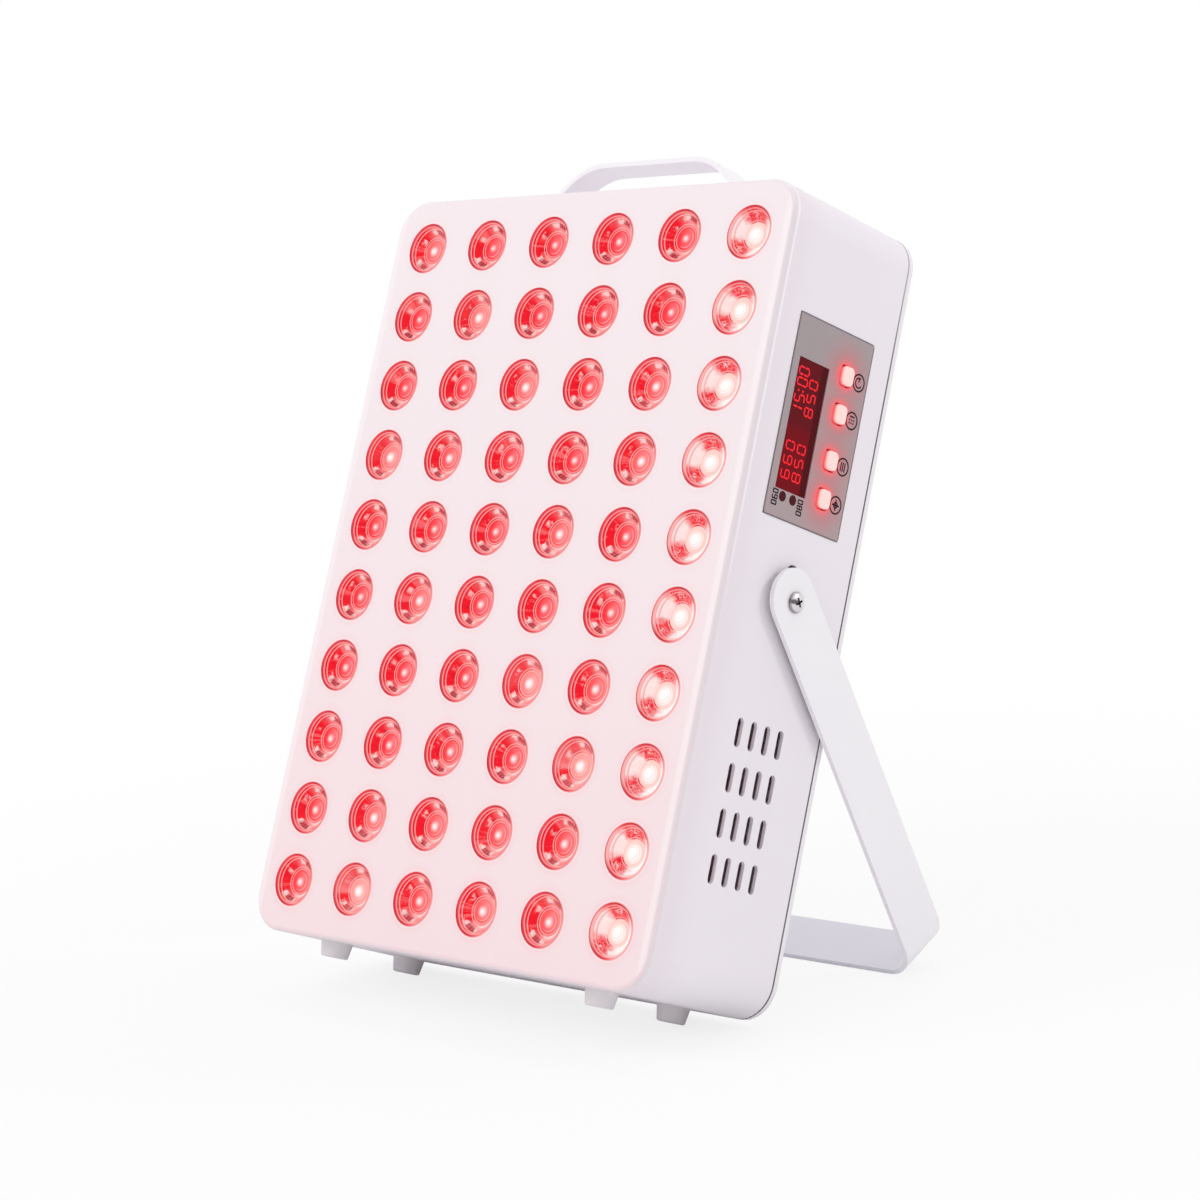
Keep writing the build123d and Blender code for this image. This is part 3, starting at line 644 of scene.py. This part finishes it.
def make_inlet(first, second):
    """Inlet body of two close dark colours, with bare metal on its three pins."""
    g = Graph("inlet_black_and_pins")
    x, y, z = g.panel()
    spot = g.place()
    cloud = g.noise(spot, 160.0, 4.0, 0.6)
    grain = g.noise(spot, 1400.0, 2.0, 0.6)
    near = []
    for across, rise in ((-PIN_PITCH, -PIN_RISE), (PIN_PITCH, -PIN_RISE), (0.0, PIN_RISE)):
        off_x = g.away(x, INLET_X + across)
        off_z = g.away(z, REAR_ROW_Z + rise)
        near.append(g.math("MULTIPLY", g.smooth(off_x, 1.2, 1.0), g.smooth(off_z, 2.1, 1.9)))
    pins = g.fold("MAXIMUM", near)
    pins = g.math("MULTIPLY", pins, g.smooth(y, PIN_END, PIN_END + 0.2))
    return g.principled(
        Base_Color=g.mix(pins, g.mix(cloud, first, second), srgb(196, 192, 184)),
        Metallic=pins,
        Roughness=g.math("MULTIPLY_ADD", pins, -0.2, g.scaled(grain, 0.44, 0.55)),
        Normal=g.bump(grain, 0.12, 0.0002),
    )


def make_lit(name, first, second, strength):
    """Small self-lit print, with a slight unevenness."""
    g = Graph(name)
    cloud = g.noise(g.place(), 700.0, 2.0)
    return g.principled(
        Base_Color=srgb(60, 4, 8),
        Roughness=0.4,
        Specular_IOR_Level=0.05,
        Emission_Color=g.mix(cloud, first, second),
        Emission_Strength=strength,
    )


BLACKS = (srgb(28, 28, 30), srgb(40, 40, 42))
FOOT_WHITES = (srgb(226, 221, 224), srgb(236, 232, 235))
MARK_WHITES = (srgb(214, 214, 212), srgb(228, 228, 226))
ALLOY_GREYS = (srgb(190, 192, 196), srgb(208, 210, 213))
INKS = (srgb(36, 22, 26), srgb(50, 34, 38))
DOT_REDS = (srgb(62, 5, 13), srgb(84, 9, 19))

PAINT = make_paint()
STRAP = make_strap_paint()
DISH = make_lens_dish()
RIM = make_lens_rim()
DOME = make_lens_dome()
FILM = make_overlay()
PANE = make_window()
CAP = make_button()
CHROME = make_chrome()
SEAM = make_seam()
INLET = make_inlet(*BLACKS)
FOOT = make_plain("foot_white_rubber", *FOOT_WHITES, 120, 0.62, bump=0.16)
BLACK = make_plain("black_moulded_plastic", *BLACKS, 160, 0.5, bump=0.14)
NYLON = make_plain("washer_nylon", srgb(214, 212, 210), srgb(226, 224, 222), 180, 0.5)
ALLOY = make_plain("bare_alloy", *ALLOY_GREYS, 90, 0.36, metal=1.0, bump=0.08)
BOARD_WHITE = make_plain("lamp_board_white", srgb(226, 226, 222), srgb(236, 236, 232), 70, 0.42)
BOARD_GREEN = make_plain("circuit_board_green", srgb(24, 84, 50), srgb(32, 100, 60), 150, 0.35)
BRASS = make_plain("pillar_brass", srgb(196, 160, 92), srgb(212, 178, 110), 150, 0.3, metal=1.0)
MARK = make_plain("switch_mark_white", *MARK_WHITES, 500, 0.5, bump=0.02)
# Painted shade for the walls of the screw recesses
RECESS_SHADE = make_plain("recess_painted_shade", srgb(58, 54, 58), srgb(76, 71, 75), 500, 0.4, metal=1.0)
INK = make_plain("icon_ink", *INKS, 400, 0.6, bump=0.02, Specular_IOR_Level=0.1)
DOT_INK = make_plain("dark_red_dot", *DOT_REDS, 600, 0.4, bump=0.05, Specular_IOR_Level=0.1)
DIGIT = make_lit("digit_red", srgb(246, 24, 38), srgb(255, 52, 62), 1.0)


class Shape:
    """Vertices in panel coordinates and faces of a mesh, gathered piece by piece."""

    def __init__(self):
        self.vertices = []
        self.faces = []

    def add(self, vertices, faces):
        shift = len(self.vertices)
        self.vertices += vertices
        self.faces += [tuple(index + shift for index in face) for face in faces]

    def add_polygon(self, points):
        self.add(points, [range(len(points))])


def link_object(name, data):
    made = bpy.data.objects.new(name, data)
    bpy.context.scene.collection.objects.link(made)
    return made


def add_object(name, mesh, body, slot, smooth):
    """Piece that rides on a body, smooth where its faces meet below an angle in degrees."""
    mesh.shade_smooth()
    mesh.set_sharp_from_angle(angle=radians(smooth))
    piece = link_object(name, mesh)
    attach(piece, body)
    return piece


def add_mesh(name, shape, materials, body, slot, smooth=40.0, indices=None):
    """Piece made of a shape."""
    mesh = bpy.data.meshes.new(name)
    mesh.from_pydata([PANEL @ Vector(v) for v in shape.vertices], [], shape.faces)
    for material in materials:
        mesh.materials.append(material)
    if indices:
        mesh.polygons.foreach_set("material_index", indices)
    mesh.validate()
    return add_object(name, mesh, body, slot, smooth)


def ring_faces(rings, count, flip=False, closed=False):
    """Quads between rings of points, and from the last ring to the first where closed."""
    faces = []
    for ring in range(rings if closed else rings - 1):
        low, high = ring * count, (ring + 1) % rings * count
        for step in range(count):
            after = (step + 1) % count
            if flip:
                faces.append((low + step, high + step, high + after, low + after))
            else:
                faces.append((low + step, low + after, high + after, high + step))
    return faces


def lathe(profile, segments, place, flip=False):
    """Rings of a profile of (radius, height); place turns (across, up, height) to a point."""
    vertices = []
    for radius, height in profile:
        for step in range(segments):
            turn = 2 * pi * step / segments
            vertices.append(place(radius * cos(turn), radius * sin(turn), height))
    return vertices, ring_faces(len(profile), segments, flip)


def dome_arc(radius, foot, rise, steps):
    """Profile of a dome above its edge, up to its pole."""
    points = []
    for step in range(1, steps + 1):
        lift = (pi / 2) * step / steps
        points.append((max(radius * cos(lift), POLE), foot + rise * sin(lift)))
    return points


def lens_glow(column, row):
    """Brightness of a lamp from 0 to 1: the column on the control side shines at the camera."""
    # Scatter that follows from the place in the grid alone, so that each run has the same
    spread = sin(column * 12.9898 + row * 78.233) * 43758.5453
    chance = spread - int(spread // 1)
    if column == LENS_COLUMNS - 1:
        return 0.74 + 0.16 * chance
    low = 1 - row / (LENS_ROWS - 1)
    return 0.03 + 0.14 * low**1.5 + 0.06 * column / LENS_COLUMNS + 0.28 * chance**3


def lens_profile():
    """Profile of a lens, radius and depth, as its rim, its dish and its dome."""
    # Rim and dish start as insets from the lens radius, the collar as a reach past the dome
    rim = [(0.0, 0.30), (0.0, -0.15), (0.10, -0.38), (0.32, -0.48), (0.55, -0.40)]
    rim += [(0.68, -0.20), (0.98, 0.42), (1.10, 0.50), (1.22, 0.55), (1.32, 0.72)]
    dish = [(1.63, 1.50), (1.75, 1.60), (1.87, 1.65), (1.97, 1.85)]
    edge, depth = dish[-1]
    steps = 10
    for step in range(1, steps + 1):
        part = step / steps
        dish.append((edge + DISH_WIDTH * part, depth + DISH_DEPTH * part**1.05))
    collar = [(0.90, 3.86), (0.72, 3.76), (0.52, 3.80), (0.30, 4.04), (0.16, 4.30)]
    dome = [(DOME_RADIUS + reach, depth) for reach, depth in collar]
    dome.append((DOME_RADIUS, DOME_FOOT))
    dome += dome_arc(DOME_RADIUS, DOME_FOOT, -DOME_RISE, 9)
    rim, dish = [[(LENS_RADIUS - inset, depth) for inset, depth in part] for part in (rim, dish)]
    return rim, dish, dome


def add_lenses():
    """Lens array. Each point keeps its place on its lens and the glow of its lamp."""
    parts = lens_profile()
    profile = [point for part in parts for point in part]
    kinds = [kind for kind, part in enumerate(parts) for _ in part]
    shape = Shape()
    spots, indices = [], []
    for column in range(LENS_COLUMNS):
        for row in range(LENS_ROWS):
            x = (column - (LENS_COLUMNS - 1) / 2) * LENS_PITCH_X
            z = (row - (LENS_ROWS - 1) / 2) * LENS_PITCH_Z
            glow = lens_glow(column, row)
            vertices, faces = lathe(
                profile, LENS_SEGMENTS, lambda a, b, h: (x + a, h, z + b), flip=True
            )
            shape.add(vertices, faces)
            for across, _, up in vertices:
                spots += [(across - x) / LENS_RADIUS, (up - z) / LENS_RADIUS, glow]
            for kind in kinds[1:]:
                indices += [kind] * LENS_SEGMENTS
    looks = [RIM, DISH, DOME]
    lenses = add_mesh("lens_array", shape, looks, "panel", "lens_plastic", 60, indices)
    local = lenses.data.attributes.new("lens_uv", "FLOAT_VECTOR", "POINT")
    local.data.foreach_set("vector", spots)
    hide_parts("lenses")


def add_feet():
    """Round tapered feet with soft lower edges."""
    profile = [
        (POLE, FOOT_HEIGHT),
        (FOOT_END_RADIUS - 0.9, FOOT_HEIGHT),
        (FOOT_END_RADIUS - 0.4, FOOT_HEIGHT - 0.15),
        (FOOT_END_RADIUS - 0.05, FOOT_HEIGHT - 0.6),
        (FOOT_END_RADIUS + 0.05, FOOT_HEIGHT - 1.2),
        (FOOT_RADIUS - 0.15, 0.4),
        (FOOT_RADIUS, 0.1),
        (FOOT_RADIUS, 0.0),
        (POLE, 0.0),
    ]
    shape = Shape()
    for x, y in product((-FOOT_X, FOOT_X), FOOT_ROWS):
        shape.add(*lathe(profile, 40, lambda a, b, h: (x + a, y + b, -TOP - h)))
    feet = add_mesh("feet_round", shape, [FOOT], "panel", "foot_rubber", 50)
    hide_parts("feet")


def cut(piece, tool):
    """Takes the tool's shape out of a piece and drops the tool."""
    modifier = piece.modifiers.new("cut", "BOOLEAN")
    modifier.object = tool
    modifier.solver = "EXACT"
    modifier.material_mode = "TRANSFER"
    bpy.context.view_layer.update()
    graph = bpy.context.evaluated_depsgraph_get()
    result = bpy.data.meshes.new_from_object(piece.evaluated_get(graph))
    piece.modifiers.remove(modifier)
    old = piece.data
    piece.data = result
    bpy.data.meshes.remove(old)
    bpy.data.objects.remove(tool)


def recess_box(low, high):
    """Loose box between two corners in panel coordinates, to cut a recess with; its dark material
    is painted shade on the walls of the recess.
    """
    corners = product(*zip(low, high))
    faces = [(0, 1, 3, 2), (4, 6, 7, 5), (0, 4, 5, 1), (2, 3, 7, 6), (0, 2, 6, 4), (1, 5, 7, 3)]
    mesh = bpy.data.meshes.new("recess")
    mesh.from_pydata([PANEL @ Vector(corner) for corner in corners], [], faces)
    mesh.materials.append(RECESS_SHADE)
    return link_object("recess", mesh)


def add_pivot_screws():
    """Pan head screws with a cross recess, and their shanks."""
    profile = [
        (POLE, -SCREW_SHANK_LENGTH),
        (SCREW_SHANK_RADIUS, -SCREW_SHANK_LENGTH),
        (SCREW_SHANK_RADIUS, 0.0),
        (SCREW_HEAD_RADIUS - 0.1, 0.0),
        (SCREW_HEAD_RADIUS, 0.2),
        (SCREW_HEAD_RADIUS - 0.03, 0.6),
    ]
    profile += dome_arc(SCREW_HEAD_RADIUS - 0.08, 0.6, 1.3, 9)
    shape = Shape()
    for side in (-1, 1):
        shape.add(
            *lathe(profile, 40, lambda a, b, h: (side * (SCREW_SEAT + h), PIVOT_Y + a * side, b))
        )
    screws = add_mesh("pivot_screw_heads", shape, [CHROME], "panel", "screw_chrome", 45)
    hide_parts("pivot_screws")
    reach, half, floor = 1.9, 0.42, SCREW_SEAT + 0.85
    for side, quarter in product((-1, 1), (0, pi / 2)):
        tool = recess_box((floor, -reach, -half), (SCREW_SEAT + 4, reach, half))
        turn = Matrix.Rotation(radians(SCREW_TURN) + quarter, 4, "X")
        spin = Matrix.Translation((0, PIVOT_Y, 0)) @ turn
        flip = Matrix.Diagonal((side, 1, 1, 1))
        tool.data.transform(PANEL @ flip @ spin @ PANEL.inverted())
        if side < 0:
            tool.data.flip_normals()
        cut(screws, tool)


def dome_head(radius, height):
    """Profile of a small pan head that stands on zero."""
    profile = [(POLE, -0.4), (radius * 0.96, -0.4), (radius, 0.1), (radius * 0.98, height * 0.45)]
    return profile + dome_arc(radius * 0.96, height * 0.45, height * 0.55, 6)


def add_cover_screws():
    """Screws with a cross recess at the six tabs behind the cover."""
    side, top = SIDE - COVER_SCREW_INSET, TOP - COVER_SCREW_INSET
    spots = list(product((-side, side), (-COVER_SCREW_Z, COVER_SCREW_Z)))
    spots += [(0.0, top), (0.0, -top)]
    head = dome_head(COVER_SCREW_RADIUS, COVER_SCREW_HEIGHT)
    shape = Shape()
    for x, z in spots:
        vertices, faces = lathe(head, 28, lambda a, b, h: (x + a, COVER_BACK + h, z + b))
        shape.add(vertices, [face[::-1] for face in faces])
    screws = add_mesh("cover_screws", shape, [ALLOY], "panel", "screw_chrome", 45)
    reach, half, floor = 1.5, 0.3, COVER_BACK + 0.55
    for x, z in spots:
        for wide, high in ((reach, half), (half, reach)):
            low = (x - wide, floor, z - high)
            cut(screws, recess_box(low, (x + wide, COVER_BACK + 3, z + high)))


def add_rivets():
    """Two rivets in each foot of the handle."""
    head = dome_head(RIVET_RADIUS, RIVET_HEIGHT)
    shape = Shape()
    for x, y in product((-RIVET_X, RIVET_X), RIVET_ROWS):
        shape.add(*lathe(head, 24, lambda a, b, h: (x + a, y + b, TOP + STRAP_THICKNESS + h)))
    add_mesh("handle_rivets", shape, [STRAP], "panel", "shell_paint", 45)


def add_rocker_marks():
    """A bar on the pressed half of the rocker and a ring on the raised half."""
    tilt = Matrix.Rotation(radians(ROCKER_TILT), 4, "X")
    place = Matrix.Translation((SWITCH_X, COVER_BACK, REAR_ROW_Z)) @ tilt

    def on_rocker(x, z):
        return place @ Vector((x, ROCKER_RISE + ROCKER_SLOPE * abs(z), z))

    middle = 2.3
    bar = [(a * 0.4, middle + b * 1.2) for a, b in SQUARE]
    shape = Shape()
    shape.add([on_rocker(x, z) for x, z in bar], [(0, 3, 2, 1)])
    ring = [(1.3, 0.0), (0.8, 0.0)]
    shape.add(*lathe(ring, 32, lambda a, b, h: on_rocker(a, b - middle), flip=True))
    add_mesh("rocker_marks", shape, [MARK], "rocker", "black_plastic")


def rounded_rectangle(width, height, radius, y=0.0, z=0.0, steps=6):
    """Outline of a rounded rectangle about a centre, going round once."""
    points = []
    for corner, (sy, sz) in enumerate(((1, 1), (-1, 1), (-1, -1), (1, -1))):
        middle_y = y + sy * (width / 2 - radius)
        middle_z = z + sz * (height / 2 - radius)
        for step in range(steps + 1):
            turn = pi / 2 * (corner + step / steps)
            points.append((middle_y + radius * cos(turn), middle_z + radius * sin(turn)))
    return points


def circle(radius, y, z, steps=40):
    """Outline of a circle about a centre."""
    turns = [2 * pi * step / steps for step in range(steps)]
    return [(y + radius * cos(turn), z + radius * sin(turn)) for turn in turns]


def side_plate(name, outlines, inner, outer, material, body, slot, bevel=0.0):
    """Plate on the right side from closed outlines of (y, z), the inner ones being holes."""
    curve = bpy.data.curves.new(name, "CURVE")
    curve.dimensions = "2D"
    curve.fill_mode = "BOTH"
    curve.extrude = (outer - inner) / 2 - bevel
    curve.bevel_depth = bevel
    curve.bevel_resolution = 2
    curve.offset = -bevel
    for outline in outlines:
        spline = curve.splines.new("POLY")
        spline.points.add(len(outline) - 1)
        for point, (y, z) in zip(spline.points, outline):
            point.co = (y, z, 0, 1)
        spline.use_cyclic_u = True
    loose = link_object(name, curve)
    bpy.context.view_layer.update()
    graph = bpy.context.evaluated_depsgraph_get()
    mesh = bpy.data.meshes.new_from_object(loose.evaluated_get(graph))
    bpy.data.objects.remove(loose)
    middle = (inner + outer) / 2
    stand = Matrix(((0, 0, 1, middle), (1, 0, 0, 0), (0, 1, 0, 0), (0, 0, 0, 1)))
    mesh.transform(PANEL @ stand)
    mesh.materials.clear()
    mesh.materials.append(material)
    return add_object(name, mesh, body, slot, 35)


def add_control_plate():
    """Film-faced plate with round corners, open at the display and the buttons."""
    outlines = [
        rounded_rectangle(OVERLAY_WIDTH, OVERLAY_HEIGHT, OVERLAY_CORNER, OVERLAY_Y, OVERLAY_Z),
        rounded_rectangle(WINDOW_WIDTH, WINDOW_HEIGHT, WINDOW_CORNER, WINDOW_Y, WINDOW_Z, 2),
    ]
    hole = (BUTTON_HOLE_WIDTH, BUTTON_HOLE_HEIGHT, BUTTON_HOLE_CORNER)
    outlines += [rounded_rectangle(*hole, BUTTON_Y, row) for row in BUTTON_ROWS]
    plate = side_plate(
        "control_plate", outlines, OVERLAY_BACK, OVERLAY_FACE, FILM, "panel", "overlay_grey"
    )
    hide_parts("control_overlay")


def add_buttons():
    """Rounded milky caps with their stems."""
    for index, row in enumerate(BUTTON_ROWS, start=1):
        outline = rounded_rectangle(BUTTON_WIDTH, BUTTON_HEIGHT, BUTTON_CORNER, BUTTON_Y, row, 8)
        name, body = f"button_cap_{index}", f"button_{index}"
        levels = (BUTTON_BACK, BUTTON_FACE)
        cap = side_plate(name, [outline], *levels, CAP, body, "button_grey", BUTTON_BEVEL)
        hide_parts(f"button_{index}")


# Strokes of a digit on a grid one wide and two high, from the lower left
STROKES = {
    "a": ((0, 2), (1, 2)),
    "b": ((1, 2), (1, 1)),
    "c": ((1, 1), (1, 0)),
    "d": ((0, 0), (1, 0)),
    "e": ((0, 0), (0, 1)),
    "f": ((0, 1), (0, 2)),
    "g": ((0, 1), (1, 1)),
}
DIGITS = {"0": "abcdef", "1": "bc", "5": "acdfg", "6": "acdefg", "8": "abcdefg"}


def bar_outline(start, end, width, trim=0.0, tip=0.0):
    """Corners of a bar between two points. trim cuts its ends back, tip draws them to a point."""
    sx, sy = start
    ex, ey = end
    length = sqrt((ex - sx) ** 2 + (ey - sy) ** 2)
    dx, dy = (ex - sx) / length, (ey - sy) / length
    sx, sy = sx + dx * trim, sy + dy * trim
    ex, ey = ex - dx * trim, ey - dy * trim
    nx, ny = -dy * width / 2, dx * width / 2
    left = [(sx + nx, sy + ny), (ex + nx, ey + ny)]
    right = [(ex - nx, ey - ny), (sx - nx, sy - ny)]
    if not tip:
        return left + right
    tail = (sx - dx * tip, sy - dy * tip)
    head = (ex + dx * tip, ey + dy * tip)
    return [tail, *left, head, *right]


def sign_outlines(sign, height, width, thick, trim):
    """Outlines of a seven-bar digit or a colon, from its lower left."""
    half = height / 2
    if sign == ":":
        reach = thick * 0.6
        return [[(a * reach, up * half + b * reach) for a, b in SQUARE] for up in (0.55, 1.45)]
    shift = -1.0 if sign == "1" else 0.0
    outlines = []
    for name in DIGITS[sign]:
        start, end = [((a + shift) * width, b * half) for a, b in STROKES[name]]
        outlines.append(bar_outline(start, end, thick, trim * thick, thick / 2))
    return outlines


def add_numbers(name, lines, level, trim, material, slot):
    """Numbers that read upwards: top is the Y of their upper edge, start the Z they begin at."""
    shape = Shape()
    for line in lines:
        height, thick = line["height"], line["thick"]
        base, along = line["top"] + height, line["start"]
        for sign in line["text"]:
            for outline in sign_outlines(sign, height, line["width"], thick, trim):
                shape.add_polygon([(level, base - b, along + a) for a, b in outline])
            along += line["step"] * (0.5 if sign in ":1" else 1.0)
    add_mesh(name, shape, [material], "panel", slot)


def add_digits():
    """Plain numbers on the display and beside the two dots."""
    top = WINDOW_Y - WINDOW_WIDTH / 2
    start = WINDOW_Z - WINDOW_HEIGHT / 2
    clock = {"height": 5.6, "width": 2.7, "step": 4.1, "thick": 0.72}
    count = {"height": 4.5, "width": 3.1, "step": 5.4, "thick": 0.66}
    shown = [
        {**clock, "text": "15:00", "top": top + 1.4, "start": start + 31.55},
        {**count, "text": "850", "top": top + 8.4, "start": start + 29.55, "step": 5.3},
        {**count, "text": "660", "top": top + 2.0, "start": start + 4.55, "height": 4.6},
        {**count, "text": "850", "top": top + 8.5, "start": start + 4.55},
    ]
    add_numbers("display_digits", shown, WINDOW_FACE + 0.06, 0.62, DIGIT, "window_red")
    small = {"height": 2.7, "width": 1.3, "step": 2.15, "thick": 0.55}
    printed = [
        {**small, "text": "060", "top": top - 0.55, "start": DOT_Z - 3.95},
        {**small, "text": "080", "top": top + 14.15, "start": DOT_Z - 4.45},
    ]
    add_numbers("dot_numbers", printed, PRINT_FACE, 0.1, INK, "overlay_grey")


def arc_bars(radius, first, last, steps):
    """Short bars along an arc between two directions in degrees."""
    points = []
    for step in range(steps + 1):
        turn = radians(first + (last - first) * step / steps)
        points.append((radius * cos(turn), radius * sin(turn)))
    return list(zip(points, points[1:]))


def add_icons():
    """A printed ring beside each button with a simple sign in it."""
    dashes = [((a - 0.35, b), (a + 0.35, b)) for a in (-1.2, 0.0, 1.2) for b in (-0.9, 0.3)]
    cross = [((-2.1, 0.0), (2.1, 0.0)), ((0.0, -2.1), (0.0, 2.1))]
    signs = [
        arc_bars(1.9, 60, 330, 9) + [((0.0, 0.2), (0.0, 2.0))],
        dashes + [((-1.4, 1.6), (1.4, 1.6))],
        [((a, -1.8), (a, 1.8)) for a in (-1.1, 0.0, 1.1)],
        cross + arc_bars(1.1, 45, 405, 8),
    ]
    for index, (row, strokes) in enumerate(zip(BUTTON_ROWS, signs), start=1):
        z = row - ICON_DROP
        rings = [circle(radius, ICON_Y, z) for radius in (ICON_RADIUS, ICON_INNER_RADIUS)]
        name = f"icon_ring_{index}"
        side_plate(name, rings, PRINT_BACK, PRINT_FACE, INK, "panel", "overlay_grey")
        shape = Shape()
        for start, end in strokes:
            corners = bar_outline(start, end, ICON_STROKE)
            shape.add_polygon([(PRINT_FACE, ICON_Y + a, z + b) for a, b in corners])
        add_mesh(f"icon_sign_{index}", shape, [INK], "panel", "overlay_grey")


def add_dots():
    """Two small dark dots below the display."""
    for index, y in enumerate(DOT_COLUMNS, start=1):
        outline = circle(DOT_RADIUS, y, DOT_Z, 32)
        name, face = f"sensor_dot_{index}", OVERLAY_FACE + 0.05
        side_plate(name, [outline], PRINT_BACK, face, DOT_INK, "panel", "window_red")


def add_seam():
    """Dark line of the joint between tray and rear cover, all round the case."""
    outline = rounded_rectangle(2 * SIDE, 2 * TOP, CASE_CORNER, steps=10)
    section = [
        (SEAM_FRONT, SEAM_PROUD),
        (SEAM_BACK, SEAM_PROUD),
        (SEAM_BACK, -SEAM_SUNK),
        (SEAM_FRONT, -SEAM_SUNK),
    ]
    vertices = []
    for depth, grow in section:
        vertices += [(x * (1 + grow / SIDE), depth, z * (1 + grow / TOP)) for x, z in outline]
    shape = Shape()
    shape.add(vertices, ring_faces(len(section), len(outline), flip=True, closed=True))
    add_mesh("cover_seam", shape, [SEAM], "panel", "black_plastic")


def dress_nodes():
    """Materials of the CAD pieces that stay."""
    switch = ("switch_housing", "switch_rocker")
    looks = {
        PAINT: ("front_housing", "rear_cover"),
        STRAP: ("handle", "stand_bracket"),
        PANE: ("display_window",),
        BLACK: ("control_case", "tact_switches", "fan_frame", "fan_rotor", *switch),
        INLET: ("power_inlet",),
        NYLON: ("pivot_spacers",),
        ALLOY: ("heat_sink", "power_supply"),
        BOARD_WHITE: ("led_board",),
        BOARD_GREEN: ("control_board",),
        BRASS: ("board_standoffs",),
    }
    for material, names in looks.items():
        for name in names:
            mesh = frame["nodes"][name].data
            mesh.materials.clear()
            mesh.materials.append(material)


def add_floor():
    """White floor that keeps the object's shadow and fades to plain white away from it."""
    size = 6.0
    mesh = bpy.data.meshes.new("floor")
    mesh.from_pydata([(a * size, b * size, 0) for a, b in SQUARE], [], [(0, 1, 2, 3)])
    floor = link_object("floor", mesh)
    g = Graph("floor_white")
    cloud = g.noise(g.place(), 3.0, 2.0)
    tone = g.mix(cloud, srgb(244, 244, 245), srgb(247, 247, 248))
    matt = g.node("ShaderNodeBsdfDiffuse", Color=tone)
    white = g.node("ShaderNodeEmission", Strength=1.0)
    length = g.node("ShaderNodeVectorMath")
    length.operation = "LENGTH"
    g.set(length.inputs[0], g.place())
    far = g.smooth(length.outputs["Value"], 0.2, 0.7)
    path = g.node("ShaderNodeLightPath").outputs
    seen = g.math("MULTIPLY", path["Is Camera Ray"], g.math("MULTIPLY_ADD", far, 0.2, 0.8))
    mirrored = g.math("MAXIMUM", path["Is Glossy Ray"], path["Is Transmission Ray"])
    share = g.math("MAXIMUM", seen, g.math("MULTIPLY", mirrored, far))
    mesh.materials.append(g.blend(share, matt, white))


def add_world():
    """Soft even light from all round, with white where the background itself shows."""
    g = Graph("studio", "World")
    path = g.node("ShaderNodeLightPath").outputs
    rays = [path[f"Is {kind} Ray"] for kind in ("Camera", "Glossy", "Transmission")]
    white = (1, 1, 1, 1)
    light = g.node("ShaderNodeBackground", Color=white, Strength=0.66)
    shown = g.node("ShaderNodeBackground", Color=white, Strength=1.0)
    bpy.context.scene.world = g.blend(g.fold("MAXIMUM", rays), light, shown)


def add_light(name, place, aim, size, power):
    """Round soft lamp at a place in metres, aimed at a height above the origin."""
    lamp = bpy.data.lights.new(name, "AREA")
    lamp.shape = "DISK"
    lamp.size = size
    lamp.energy = power
    made = link_object(name, lamp)
    made.location = place
    towards = Vector((0, 0, aim)) - Vector(place)
    made.rotation_euler = towards.to_track_quat("-Z", "Y").to_euler()


def add_camera():
    """Camera at the photograph's place."""
    data = bpy.data.cameras.new("photo_camera")
    data.sensor_fit = "HORIZONTAL"
    data.sensor_width = 36.0
    data.lens = CAMERA_LENS
    data.clip_start = 0.05
    data.clip_end = 50.0
    camera = link_object("photo_camera", data)
    turn = Euler([radians(angle) for angle in CAMERA_TURN]).to_matrix().to_4x4()
    place = Matrix.Translation(PANEL @ Vector(CAMERA_PLACE))
    camera.matrix_world = place @ TURN @ turn
    bpy.context.scene.camera = camera


dress_nodes()
add_lenses()
add_feet()
add_seam()
add_cover_screws()
add_rivets()
add_rocker_marks()
add_pivot_screws()
add_control_plate()
add_buttons()
add_digits()
add_icons()
add_dots()
add_floor()
add_world()
add_light("key_softbox", place=(-0.7, -1.5, 1.6), aim=0.16, size=1.4, power=13.4)
add_light("side_softbox", place=(1.5, 1.1, 0.8), aim=0.16, size=0.5, power=5.8)
add_light("top_softbox", place=(0.1, 0.6, 1.8), aim=0.2, size=1.2, power=5)
add_camera()
bpy.context.scene.view_settings.view_transform = "Standard"
